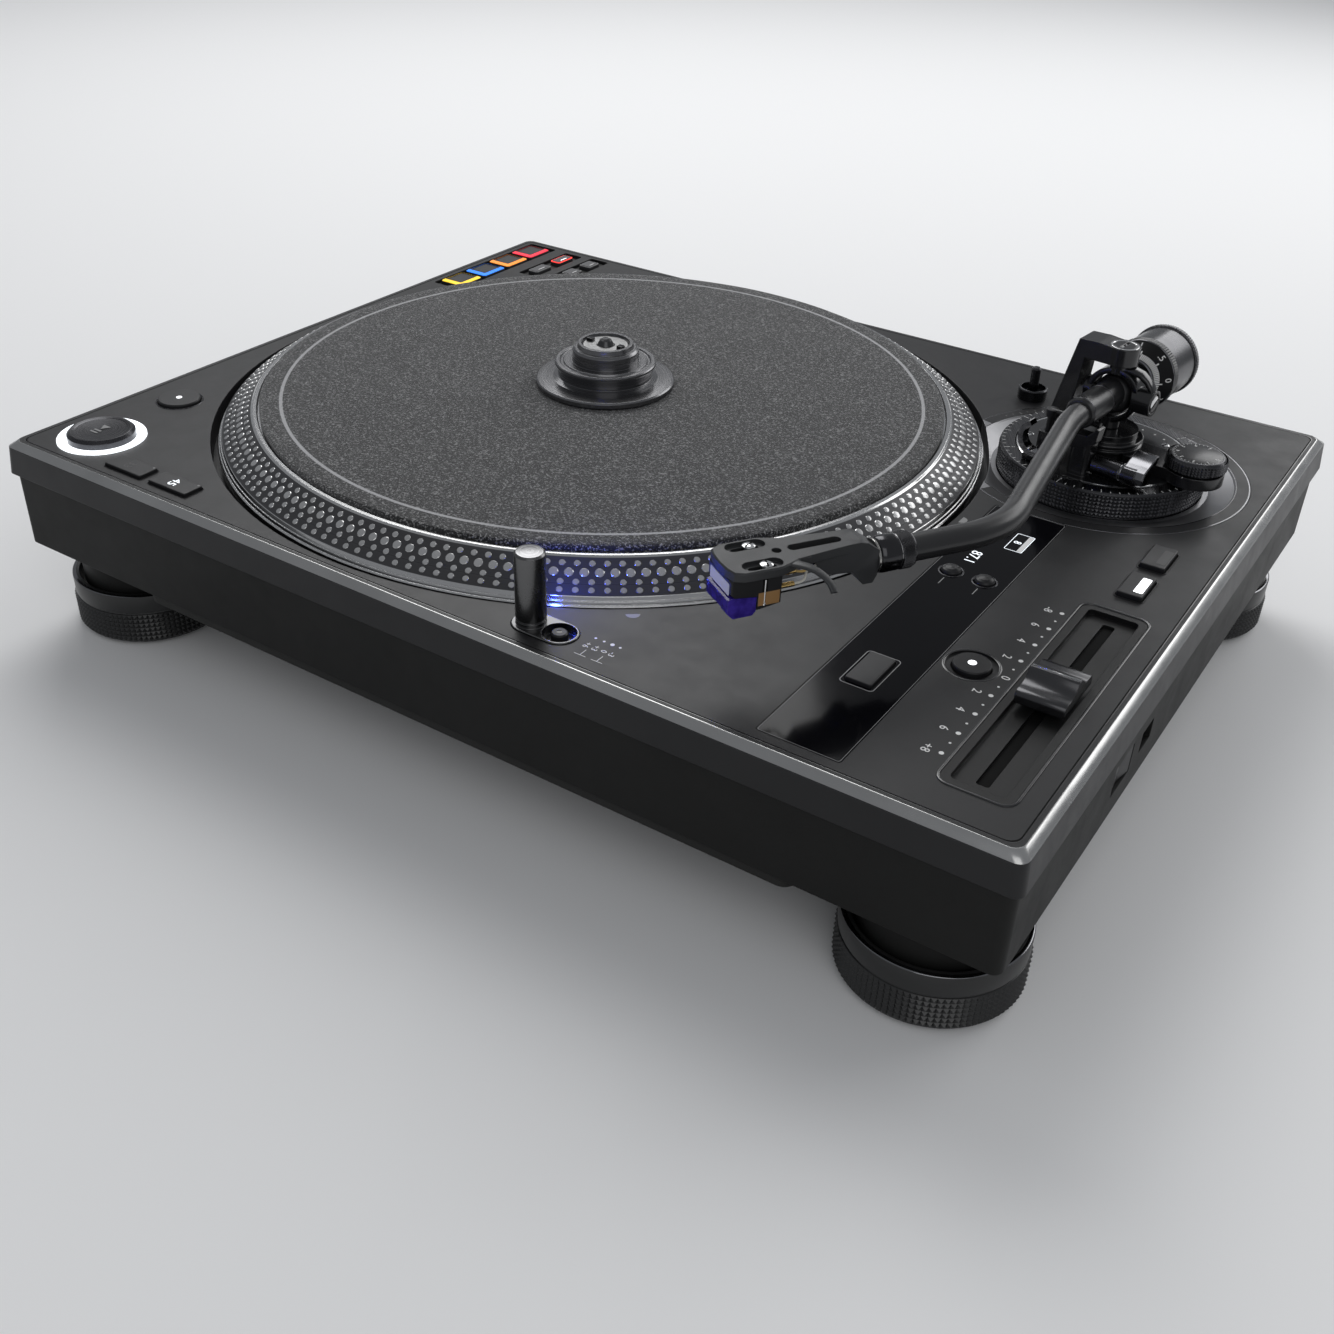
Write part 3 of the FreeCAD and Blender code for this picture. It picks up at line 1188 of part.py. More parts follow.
def arm_platform():
    """Casting that carries the arm: guide, disc, yoke, arm rest post, lift block and knob arm."""
    body = new_body("arm_platform", PIVOT_X, PIVOT_Y, DECK, ARM_ANGLE)
    radius = size("platform_radius")
    top = size("platform_rise")
    neck, rise = size("neck_radius"), size("neck_rise")
    hub = size("hub_radius")
    axis = size("arm_height") - size("tilt_drop")
    yoke_floor = axis - size("gimbal_outer") - size("gimbal_gap")
    outline = sketch_on(body, "disc", "XZ_Plane")
    polygon(outline, [
        (0, -34.0), (hub, -34.0), (hub, -RECESS + 1.0), (radius, -RECESS + 1.0),
        (radius, top - 0.8), (radius - 0.8, top), (neck - 1.0, top), (neck - 1.0, rise - 4.4),
        (neck, rise - 3.6), (neck, rise - 2.6), (neck - 0.8, rise - 2.2), (neck - 0.8, rise - 1.6),
        (neck, rise - 1.2), (neck, rise - 0.4), (neck - 0.4, rise), (neck - 2.6, rise),
        (neck - 2.6, yoke_floor), (0, yoke_floor)])
    revolve(body, outline)
    boss_top = size("yoke_boss_rise")
    yoke = sketch_on(body, "yoke", "YZ_Plane", -size("yoke_depth") / 2)
    inner = -size("gimbal_outer") - 2.0
    polygon(yoke, [
        (-17.4, boss_top), (-24.6, 20.4), (-22.8, rise + 1.0), (-13.0, rise - 2.0),
        (-2.0, rise - 2.0), (-2.0, yoke_floor), (inner - 0.6, yoke_floor + 0.2),
        (inner - 1.8, yoke_floor + 4.0), (inner, boss_top - 7.4), (-2.0, boss_top - 7.4),
        (-2.0, boss_top - 0.2), (-9.0, boss_top + 0.4)])
    frame = pad(body, yoke, size("yoke_depth"))
    soften(body, frame, 1.2, lambda spot: spot.z > 20.0 and spot.y < -16.0)
    boss = sketch_on(body, "boss", lift=boss_top - 7.4)
    circle(boss, size("yoke_boss_radius"))
    pad(body, boss, 7.4)
    screw = sketch_on(body, "screw_rim", lift=boss_top - 0.9)
    circle(screw, size("yoke_boss_radius") - 1.2)
    circle(screw, size("yoke_boss_radius") - 1.9)
    pocket(body, screw, 2.0, back=True)
    slot = sketch_on(body, "screw_slot", lift=boss_top - 0.8)
    rectangle(slot, 0, 0, 7.0, 1.2, 0.2)
    pocket(body, slot, 2.0, back=True)
    pivots = sketch_on(body, "pivots", lift=boss_top - 4.4)
    circle(pivots, size("pivot_radius") + BEARING)
    pocket(body, pivots, boss_top - 4.4 - yoke_floor + 3.0)
    rest_post(body)
    lift_block(body)
    knob_arm(body)
    return body


def rest_post(body):
    """Post beside the arm with a cradle under the sleeve and a pin for the clip."""
    foot_z = size("platform_rise")
    thick = size("rest_thick")
    start = size("rest_x") - 0.3 - thick
    pin_y, pin_z = size("clip_pin_y"), size("clip_pin_z")
    cradle = size("arm_height") - size("sleeve_radius") - 2.1
    lip = size("sleeve_radius") + 1.1
    side = sketch_on(body, "post", "YZ_Plane", start)
    polygon(side, [
        (-21.0, foot_z), (-11.0, foot_z), (-9.6, 14.0), (-5.6, 18.6), (3.6, 20.4),
        (lip + 1.4, cradle - 2.4), (lip + 2.2, cradle + 3.6), (lip + 1.0, cradle + 4.0),
        (lip, cradle + 2.6), (lip - 2.4, cradle), (pin_y - 2.4, cradle),
        (pin_y - 3.6, pin_z - 0.4), (-12.6, 19.6), (-16.2, 12.6), (-19.8, 10.6),
        (-21.0, 10.2)])
    pad(body, side, thick)
    pin = sketch_on(body, "pin", "YZ_Plane", start + thick - 1.0)
    circle(pin, size("clip_pin_radius"), pin_y, pin_z)
    pad(body, pin, size("clip_width") + 1.8)


def lift_block(body):
    """Housing of the arm lift under the tube."""
    top = size("platform_rise")
    block = sketch_on(body, "lift_block", lift=top - 1.0)
    rectangle(block, size("lever_x") + 1.6, 2.6, 9.6, 8.4, 2.0)
    pad(body, block, 15.0)
    bar = sketch_on(body, "lift_tower", lift=top - 1.0)
    rectangle(bar, size("lifter_x"), size("lifter_y"), 7.0, 7.0, 1.6)
    pad(body, bar, 10.0)
    bores = sketch_on(body, "lift_bore", lift=top + 16.0)
    circle(bores, size("lifter_pin") + BEARING, size("lifter_x"), size("lifter_y"))
    pocket(body, bores, 15.0)
    cross = sketch_on(body, "lever_bore", "XZ_Plane", -1.5)
    circle(cross, size("lever_pin") + BEARING, size("lever_x"), size("lever_rise"))
    pocket(body, cross, 8.0)


def knob_arm(body):
    """Arm that reaches out from the platform and ends in the anti-skate knob's base."""
    low = KNOB_ARM_LOW
    thick = size("knob_arm_thick")
    x, y = size("skate_x"), size("skate_y")
    radius = size("skate_radius")
    arm = sketch_on(body, "knob_arm", lift=low)
    reach = y - 12.0
    rectangle(arm, x, 12.0 + reach / 2, radius * 1.5, reach, 2.0)
    pad(body, arm, thick)
    base = sketch_on(body, "knob_base", lift=low)
    circle(base, radius - 0.2, x, y)
    pad(body, base, thick)
    post = sketch_on(body, "knob_post", lift=low)
    circle(post, size("skate_post"), x, y)
    pad(body, post, thick + 3.0)


def antiskate_knob():
    radius = size("skate_radius")
    x, y = arm_spot(size("skate_x"), size("skate_y"))
    low = KNOB_ARM_LOW + size("knob_arm_thick") + PLAY
    top = low + 5.8
    bore = size("skate_post") + BEARING
    body = turned("antiskate_knob", [
        (bore, low), (radius - 1.2, low), (radius - 1.2, low + 0.5), (radius, low + 0.9),
        (radius, top - 1.6), (radius - 1.4, top - 0.1), (radius - 1.8, top), (0, top),
        (0, low + 3.2), (bore, low + 3.2)], x, y, DECK, ARM_ANGLE)
    knurl(body, radius, 0.8, low + 0.4, 6.0, 36)
    return body


def arm_clip():
    """Hook that swings over the tube, modelled open with the arm's way clear above it."""
    x, y = arm_spot(size("rest_x"), 0)
    body = new_body("arm_clip", x, y, DECK, ARM_ANGLE)
    pin_y, pin_z = size("clip_pin_y"), size("clip_pin_z")
    outer = size("clip_radius")
    inner = outer - size("clip_thick")
    cy, cz = size("clip_y"), size("clip_z")
    hook = sketch_on(body, "hook", "YZ_Plane")
    circle(hook, outer, cy, cz)
    circle(hook, inner, cy, cz)
    pad(body, hook, size("clip_width"))
    mouth = sketch_on(body, "mouth", "YZ_Plane")
    far = outer + 2.0
    polygon(mouth, [(cy, cz), (cy - inner * 0.9, cz + far), (cy + inner * 0.9, cz + far),
                    (cy + inner * 1.15, cz + inner * 0.7)])
    pocket(body, mouth, size("clip_width") + 1.0, back=True)
    neck = sketch_on(body, "neck", "YZ_Plane")
    polygon(neck, [(cy + inner + 0.4, cz - 1.6), (pin_y - 0.6, pin_z - 2.4),
                   (pin_y - 1.6, pin_z + 1.8), (cy + inner + 0.6, cz + 1.6)])
    pad(body, neck, size("clip_width"))
    lug = sketch_on(body, "lug", "YZ_Plane")
    circle(lug, size("clip_pin_radius") + 1.4, pin_y, pin_z)
    pad(body, lug, size("clip_width"))
    bore = sketch_on(body, "bore", "YZ_Plane")
    circle(bore, size("clip_pin_radius") + BEARING, pin_y, pin_z)
    pocket(body, bore)
    return body


def lifter():
    """Lift bar under the sleeve, on a pin that slides in its tower."""
    x, y = arm_spot(size("lifter_x"), 0)
    body = new_body("lifter", x, y, DECK, ARM_ANGLE)
    under = size("arm_height") - size("sleeve_radius") - 1.2
    stem = sketch_on(body, "stem", lift=size("platform_rise") + 4.2)
    circle(stem, size("lifter_pin"), 0, size("lifter_y"))
    pad(body, stem, under - 2.0 - size("platform_rise") - 4.2)
    knob = sketch_on(body, "knob", lift=under - 3.4)
    circle(knob, size("lifter_pin") + 1.0, 0, size("lifter_y"))
    pad(body, knob, 3.1)
    bar = sketch_on(body, "bar", "XZ_Plane", -4.0)
    circle(bar, 1.2, 0, under - 1.2)
    pad(body, bar, 22.4)
    return body


def cue_lever():
    """Rod with a polished paddle, turning in the lift housing."""
    x, y = arm_spot(size("lever_x"), 0)
    body = new_body("cue_lever", x, y, DECK + size("lever_rise"), ARM_ANGLE)
    pin = sketch_on(body, "pin", "XZ_Plane", -2.2)
    circle(pin, size("lever_pin"))
    pad(body, pin, 5.2, back=True)
    radius = size("lever_radius")
    rod = sketch_on(body, "rod", "XZ_Plane", -7.4)
    circle(rod, radius)
    barrel = pad(body, rod, 19.0, back=True)
    soften(body, barrel, 0.5, lambda spot: abs(spot.y - 26.4) < 0.01, flat=True)
    web = sketch_on(body, "web", "XZ_Plane", -20.4)
    polygon(web, [(radius - 0.6, -1.6), (radius - 0.4, 0.8), (radius - 1.8, 3.2), (-1.0, radius + 0.5),
                  (-7.6, 7.2), (-9.6, 7.0), (-9.2, 5.4), (-radius, 0.6), (-2.0, -radius + 0.8)])
    pad(body, web, 9.2, back=True)
    return body


# Arm

def gimbal():
    """Ring between the yoke and the arm, with its pivots and outer screw boss."""
    body = new_body("gimbal", PIVOT_X, PIVOT_Y, ARM_Z, ARM_ANGLE)
    drop = size("tilt_drop")
    outer, inner = size("gimbal_outer"), size("gimbal_inner")
    boss_low = size("yoke_boss_rise") - 7.4 - size("arm_height")
    yoke_floor = -drop - outer - size("gimbal_gap")
    ring = sketch_on(body, "ring", "YZ_Plane", -size("gimbal_width") / 2)
    circle(ring, outer, 0, -drop)
    pad(body, ring, size("gimbal_width"))
    side = sketch_on(body, "boss", "XZ_Plane", 0)
    circle(side, 5.4, 0, -drop)
    pad(body, side, size("gimbal_boss"), back=True)
    left = sketch_on(body, "left_boss", "XZ_Plane", 0)
    circle(left, 4.4, 0, -drop)
    pad(body, left, outer + 0.9)
    upright = sketch_on(body, "upright", lift=yoke_floor + 0.25)
    circle(upright, 4.4)
    pad(body, upright, boss_low - 0.3 - yoke_floor - 0.25)
    pins = sketch_on(body, "pins", lift=yoke_floor - 2.4)
    circle(pins, size("pivot_radius"))
    pad(body, pins, boss_low + 2.4 - yoke_floor + 2.4)
    eye = sketch_on(body, "eye", "YZ_Plane", -8.0)
    circle(eye, inner, 0, -drop)
    pocket(body, eye, 16.0, back=True)
    trunnions = sketch_on(body, "trunnions", "XZ_Plane", 12.0)
    circle(trunnions, size("trunnion_radius") + BEARING, 0, -drop)
    pocket(body, trunnions, 24.0)
    screw = sketch_on(body, "screw", "XZ_Plane", -(size("gimbal_boss") - 0.8))
    circle(screw, 4.1, 0, -drop)
    circle(screw, 3.4, 0, -drop)
    rectangle(screw, 0, -drop, 5.0, 1.1, 0.2)
    pocket(body, screw, 2.0)
    return body


def tube_path(sketch):
    """Route of the arm tube: straight, first bend, straight, second bend, straight."""
    start = size("sleeve_front") - 4.0
    first, second, last = size("bend_one"), size("bend_two"), size("tube_end")
    up = size("bend_one_angle")
    down = size("bend_one_angle") - size("bend_two_angle")
    r1, r2 = size("bend_one_radius"), size("bend_two_radius")
    corner_x = first + second * cosine(up)
    corner_y = second * sine(up)
    end_x = corner_x + last * cosine(down)
    end_y = corner_y + last * sine(down)
    a, b = math.radians(up.value), math.radians(down.value)
    t1 = r1.value * math.tan(a / 2)
    t2 = r2.value * math.tan((a - b) / 2)
    p0 = Vector(start.value, 0, 0)
    p1 = Vector(first.value - t1, 0, 0)
    p2 = Vector(first.value + t1 * math.cos(a), t1 * math.sin(a), 0)
    p3 = Vector(corner_x.value - t2 * math.cos(a), corner_y.value - t2 * math.sin(a), 0)
    p4 = Vector(corner_x.value + t2 * math.cos(b), corner_y.value + t2 * math.sin(b), 0)
    p5 = Vector(end_x.value, end_y.value, 0)
    c1 = Vector(p1.x, r1.value, 0)
    c2 = Vector(p3.x + r2.value * math.sin(a), p3.y - r2.value * math.cos(a), 0)
    up_z = Vector(0, 0, 1)
    shapes = [
        Part.LineSegment(p0, p1),
        Part.ArcOfCircle(Part.Circle(c1, up_z, r1.value), -math.pi / 2, a - math.pi / 2),
        Part.LineSegment(p2, p3),
        Part.ArcOfCircle(Part.Circle(c2, up_z, r2.value), b + math.pi / 2, a + math.pi / 2),
        Part.LineSegment(p4, p5),
        Part.Point(Vector(first.value, 0, 0)),
    ]
    sketch.addGeometry(shapes[:5], False)
    sketch.addGeometry(shapes[5], True)
    rules = [
        (Sketcher.Constraint("Tangent", 0, 2, 1, 1), None),
        (Sketcher.Constraint("Tangent", 1, 2, 2, 1), None),
        (Sketcher.Constraint("Tangent", 2, 2, 3, 2), None),
        (Sketcher.Constraint("Tangent", 3, 1, 4, 1), None),
        (Sketcher.Constraint("Radius", 1, r1.value), r1),
        (Sketcher.Constraint("Radius", 3, r2.value), r2),
        (Sketcher.Constraint("Horizontal", 0), None),
        (Sketcher.Constraint("PointOnObject", 5, 1, 2), None),
    ]
    rules.extend(point_rules(0, 1, start, 0))
    rules.extend(point_rules(5, 1, first, 0))
    rules.extend(point_rules(4, 2, end_x, end_y))
    add_rules(sketch, rules)
    return sketch


def tube_corner():
    """Position of the second bend's corner and the direction of the tube's last stretch."""
    up = size("bend_one_angle")
    x = size("bend_one") + size("bend_two") * cosine(up)
    y = size("bend_two") * sine(up)
    return x, y, up - size("bend_two_angle")


def tube_spot(distance):
    """A point on the tube's last stretch, counted from the second bend's corner."""
    x, y, direction = tube_corner()
    return x + distance * cosine(direction), y + distance * sine(direction)


def arm_tube():
    """Sleeve with the tilt pivots, curved tube and rear shaft."""
    body = new_body("arm_tube", PIVOT_X, PIVOT_Y, ARM_Z, ARM_ANGLE)
    sleeve = sketch_on(body, "sleeve", "YZ_Plane", -size("sleeve_back"))
    circle(sleeve, size("sleeve_radius"))
    pad(body, sleeve, size("sleeve_back") + size("sleeve_front"))
    route = tube_path(sketch_on(body, "route"))
    skin = sketch_on(body, "skin", "YZ_Plane", size("sleeve_front") - 4.0)
    circle(skin, size("tube_radius"))
    DOC.recompute()
    pipe = body.newObject("PartDesign::AdditivePipe", "arm_tube_pipe")
    pipe.Profile = skin
    pipe.Spine = (route, ["Edge%d" % number for number in range(1, 6)])
    bore = sketch_on(body, "bore", "YZ_Plane", size("sleeve_front") - 4.0)
    circle(bore, size("tube_radius") - size("tube_wall"))
    hollow = body.newObject("PartDesign::SubtractivePipe", "arm_tube_bore")
    hollow.Profile = bore
    hollow.Spine = (route, ["Edge%d" % number for number in range(1, 6)])
    shaft = sketch_on(body, "shaft", "YZ_Plane", -size("shaft_end"))
    circle(shaft, size("shaft_radius"))
    pad(body, shaft, size("shaft_end") - size("sleeve_back") + 1.0)
    pins = sketch_on(body, "trunnions", "XZ_Plane", -(size("gimbal_outer") + 0.4))
    circle(pins, size("trunnion_radius"), 0, -size("tilt_drop"))
    pad(body, pins, (size("gimbal_outer") + 0.4) * 2, back=False)
    return body


def collar_nut():
    """Knurled nut that locks the headshell to the tube."""
    length = size("collar_length")
    x, y = arm_spot(*tube_spot(size("tube_end") - 0.2))
    direction = ARM_ANGLE + tube_corner()[2]
    bore = size("tube_radius") + BEARING
    outer = size("collar_radius")
    body = turned("collar_nut", [
        (-length, bore), (-length, outer - 0.8), (-length + 0.6, outer - 0.2),
        (-length + 3.6, outer - 0.2), (-length + 4.0, outer - 0.8), (-length + 4.6, outer - 0.8),
        (-length + 5.0, outer), (-0.6, outer), (0, outer - 0.6), (0, bore)],
        x, y, ARM_Z, direction, axis="H_Axis")
    knurl(body, outer, 0.5, -length + 5.0, length - 5.4, 24, "YZ_Plane")
    return body


def shell_frame(label):
    """A body whose X runs along the headshell from its washer."""
    x, y = arm_spot(*tube_spot(size("tube_end") + 0.1))
    return new_body(label, x, y, ARM_Z, ARM_ANGLE + tube_corner()[2])


def headshell():
    """Washer, deep hollow tail, slotted plate and finger lift."""
    body = shell_frame("headshell")
    top = size("shell_rise")
    thick = size("shell_thick")
    under = top - thick
    length = size("shell_length")
    half, tail = size("shell_width") / 2, size("shell_tail") / 2
    washer = sketch_on(body, "washer", "YZ_Plane", 0)
    circle(washer, size("collar_radius") - 0.7)
    pad(body, washer, 1.2)
    plug = sketch_on(body, "plug", "YZ_Plane", -6.0)
    circle(plug, size("tube_radius") - size("tube_wall") - 0.1)
    pad(body, plug, 6.5)
    side = sketch_on(body, "tail", "XZ_Plane", 0)
    polygon(side, [(1.0, -4.6), (2.4, -7.2), (6.0, -7.2), (10.4, -1.8), (21.0, -0.8),
                   (25.6, under + 0.2), (25.6, top), (8.4, top), (5.4, top - 0.8),
                   (3.2, top - 2.6), (1.0, 4.6)])
    pad(body, side, size("shell_tail"), middle=True)
    plate = sketch_on(body, "plate", lift=under)
    edge = [(7.2, tail * 0.6), (9.6, tail - 0.4), (12.0, tail), (22.0, tail + 1.0),
            (31.0, tail + 2.1), (34.6, half - 1.6), (38.6, half - 0.2), (41.0, half),
            (length - 4.4, half - 0.2), (length - 1.4, half - 1.8), (length - 0.4, half - 5.4)]
    polygon(plate, [(x, -1.0 * y) for x, y in edge] + [(length, 0)] + edge[::-1])
    slab = pad(body, plate, thick)
    soften(body, slab, 0.5, lambda spot: spot.z > top.value - 0.01 and spot.x > 26.0, flat=True)
    recesses = sketch_on(body, "recesses", lift=top)
    slots = sketch_on(body, "slots", lift=top)
    back, front = size("slot_back"), size("slot_front")
    for hand in (-1, 1):
        y = size("slot_pitch") / 2 * hand
        stadium(recesses, back, front, y, size("slot_recess"))
        stadium(slots, back + 0.6, front - 0.6, y, size("slot_half"))
    circle(slots, 1.6, 36.2, 0)
    stadium(slots, 15.0, 30.4, 0, 1.8)
    pocket(body, recesses, 1.4)
    pocket(body, slots, thick + 0.6)
    channel = sketch_on(body, "channel", "YZ_Plane", 26.0)
    rectangle(channel, 0, under / 2, size("shell_tail") - 3.0, under, 0.8)
    pocket(body, channel, 17.0)
    lift = sketch_on(body, "finger_lift", "YZ_Plane", 27.6)
    polygon(lift, [(tail, under + 0.4), (9.0, under + 0.8), (13.0, top - 1.8), (17.2, top - 2.0),
                   (19.2, top - 3.4), (19.8, top - 5.8), (21.2, top - 5.8), (20.8, top - 2.6),
                   (18.2, top - 0.6), (13.0, top - 0.4), (8.4, top - 0.3), (tail, top - 0.3)])
    pad(body, lift, 3.6)
    return body


def cartridge():
    """Body under the plate, cut back at the front for the stylus, with four pins behind."""
    body = shell_frame("cartridge")
    under = size("shell_rise") - size("shell_thick") - 0.05
    front = size("cartridge_front")
    back = front - size("cartridge_length")
    low = under - size("cartridge_height")
    step = back + size("cartridge_step")
    side = sketch_on(body, "side", "XZ_Plane", 0)
    polygon(side, [(back, under), (back, low + 1.2), (step, low), (step, low + 4.8),
                   (front - 1.2, low + 5.8), (front, low + 7.2), (front, under - 0.8),
                   (front - 0.6, under)])
    block = pad(body, side, size("cartridge_width"), middle=True)
    half = size("cartridge_width") / 2
    soften(body, block, 0.5, lambda spot: spot.x > front.value - 0.01 and abs(spot.y) > half.value - 0.01)
    pins = sketch_on(body, "pins", "YZ_Plane", back - 4.4)
    for y in (-3.6, 3.6):
        for z in (-2.4, 2.4):
            circle(pins, 0.6, y, under - 5.6 + z)
    pad(body, pins, 5.0)
    return body


def stylus():
    """Removable stylus: guard under the cartridge, cantilever and tip."""
    body = shell_frame("stylus")
    under = size("shell_rise") - size("shell_thick") - 0.05
    low = under - size("cartridge_height")
    front = size("cartridge_front")
    step = front - size("cartridge_length") + size("cartridge_step") + 0.1
    tip = -size("stylus_drop")
    reach = size("stylus_reach")
    grip = sketch_on(body, "grip", "XZ_Plane", 0)
    polygon(grip, [(step, low + 4.7), (step, low - 0.6), (step + 1.2, low - 2.0),
                   (front - 1.4, low - 2.0), (front + 0.6, low), (front + 0.8, low + 5.0),
                   (front - 0.8, low + 5.7)])
    pad(body, grip, size("cartridge_width") - 1.0, middle=True)
    notch = sketch_on(body, "notch", "XZ_Plane", 0)
    polygon(notch, [(step + 2.2, low - 3.0), (step + 2.2, low - 0.2), (step + 3.0, low + 0.4),
                    (front + 2.0, low + 0.4), (front + 2.0, low - 3.0)])
    hollow = pocket(body, notch, 6.0)
    hollow.Midplane = True
    needle = sketch_on(body, "needle", "XZ_Plane", 0)
    polygon(needle, [(step + 1.4, low - 0.8), (reach - 0.2, tip + 1.35), (reach + 0.5, tip + 1.1),
                     (reach + 0.12, tip), (reach - 0.12, tip), (reach - 0.4, tip + 0.75),
                     (step + 1.4, low - 1.5)])
    pad(body, needle, 0.8, middle=True)
    return body


def weight_bush():
    """Threaded bush that carries the counterweight along the rear shaft."""
    front = -size("weight_front")
    back = front - size("weight_length") + 2.0
    bore = size("shaft_radius") + BEARING
    outer = size("bush_radius")
    face = front + size("weight_sleeve")
    return turned("weight_bush", [
        (back, bore), (back, outer), (face, outer), (face, bore)],
        PIVOT_X, PIVOT_Y, ARM_Z, ARM_ANGLE, axis="H_Axis")


def counterweight():
    """Turned weight with a knurled rear grip and a sleeve for the force dial."""
    front = -size("weight_front")
    back = front - size("weight_length")
    bore = size("bush_radius") + BEARING
    wall = size("sleeve_wall")
    outer, grip = size("weight_radius"), size("weight_grip_radius")
    edge = back + size("weight_grip")
    face = front + size("weight_sleeve")
    body = turned("counterweight", [
        (face, bore), (face, bore + wall), (front, bore + wall), (front, outer - 0.6),
        (front - 0.6, outer), (edge + 0.7, outer), (edge + 0.5, outer - 0.5),
        (edge + 0.2, outer - 0.5), (edge, grip - 0.3), (edge - 0.3, grip), (back + 1.0, grip),
        (back, grip - 1.5), (back, bore + 5.0), (back + 0.8, bore + 4.2), (back + 0.8, bore)],
        PIVOT_X, PIVOT_Y, ARM_Z, ARM_ANGLE, axis="H_Axis")
    knurl(body, grip, 0.5, back - 0.2, size("weight_grip") + 0.3, 48, "YZ_Plane")
    return body


def force_dial():
    """Dial with a sloped face that turns by itself in front of the counterweight."""
    front = -size("weight_front") + 0.3
    nose = front + size("dial_length")
    band = front + size("dial_grip")
    seat = -size("weight_front") + size("weight_sleeve") + 0.3
    bore = size("bush_radius") + BEARING + size("sleeve_wall") + BEARING
    outer = size("dial_radius")
    tip = size("dial_nose")
    body = turned("force_dial", [
        (front, bore), (front, outer), (band, outer), (band + 0.3, outer - 0.4),
        (nose - 0.8, tip + 0.6), (nose, tip - 0.2), (nose, size("shaft_radius") + 1.2),
        (seat, size("shaft_radius") + 1.2), (seat, bore)],
        PIVOT_X, PIVOT_Y, ARM_Z, ARM_ANGLE, axis="H_Axis")
    knurl(body, outer, 0.5, front - 0.2, size("dial_grip") + 0.1, 48, "YZ_Plane")
    return body


def build():
    top_case()
    lower_case()
    bottom_cover()
    arm_base_panel()
    control_panel()
    pad_tray()
    pitch_fader()
    start_light_ring()
    strobe_pillar()
    headshell_stand()
    stator()
    spindle_bearing()
    power_supply()
    power_inlet()
    audio_terminals()
    platter()
    rotor_magnet()
    spindle()
    slipmat()
    puck()
    target_lamp()
    buttons()
    fader_knob()
    power_switch()
    height_ring()
    arm_platform()
    arm_clip()
    lifter()
    cue_lever()
    antiskate_knob()
    gimbal()
    arm_tube()
    collar_nut()
    headshell()
    cartridge()
    stylus()
    weight_bush()
    counterweight()
    force_dial()
    for name, across, along in FEET:
        foot(name, across, along)


def check():
    """Stop when an object is in error or a body's shape is not sound."""
    faults = []
    for item in DOC.Objects:
        if "Invalid" in item.State or "Error" in item.State:
            faults.append("%s state %s" % (item.Label, item.State))
    for body in bodies():
        shape = body.Shape
        if shape.isNull() or not shape.isValid() or shape.Volume <= 0:
            faults.append("%s shape" % body.Label)
    if faults:
        raise RuntimeError("; ".join(faults))


def bodies():
    return [item for item in DOC.Objects if item.TypeId == "PartDesign::Body"]


def write():
    os.makedirs("parts", exist_ok=True)
    for body in bodies():
        shape = body.Shape
        print("%-20s %2d solid %9.0f mm3" % (body.Label, len(shape.Solids), shape.Volume))
        shape.exportStep("parts/%s.step" % body.Label)


build()
DOC.recompute()
check()
write()
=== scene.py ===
import math
import random

import bmesh
import bpy
from mathutils import Matrix, Vector


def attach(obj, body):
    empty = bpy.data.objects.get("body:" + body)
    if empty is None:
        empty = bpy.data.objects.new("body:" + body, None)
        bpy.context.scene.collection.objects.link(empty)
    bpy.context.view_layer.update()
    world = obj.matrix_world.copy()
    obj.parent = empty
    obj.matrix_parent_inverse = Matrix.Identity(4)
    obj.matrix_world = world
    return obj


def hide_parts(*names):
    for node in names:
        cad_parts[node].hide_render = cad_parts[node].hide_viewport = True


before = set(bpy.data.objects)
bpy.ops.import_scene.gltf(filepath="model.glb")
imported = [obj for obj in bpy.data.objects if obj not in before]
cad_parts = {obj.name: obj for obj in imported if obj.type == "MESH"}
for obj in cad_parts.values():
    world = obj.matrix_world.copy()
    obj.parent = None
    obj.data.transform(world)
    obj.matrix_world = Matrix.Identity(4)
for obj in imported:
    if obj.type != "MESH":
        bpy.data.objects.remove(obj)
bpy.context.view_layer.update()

# Sizes in millimetres; most heights count from the top plate, which lies DECK over the floor

MM = 0.001
DECK = 85.0
CASE_WIDTH, CASE_DEPTH = 453.0, 353.0
SPINDLE = (-45.5, 1.5)
RECESS_RADIUS = 169.3
MAT_RADIUS, MAT_HOLE, MAT_RING = 148.2, 3.95, 139.0
MAT_LOW, MAT_TOP = 10.06, 13.1
# The arm's pivot seen from the spindle, and the arm's turn at rest
PIVOT_RUN, PIVOT_TURN = 215.0, math.radians(22.47)
PIVOT = (SPINDLE[0] + PIVOT_RUN * math.cos(PIVOT_TURN), SPINDLE[1] + PIVOT_RUN * math.sin(PIVOT_TURN))
ARM_TURN = math.radians(-96.34)
ARM_Z, GIMBAL_Z = 34.0, 33.0
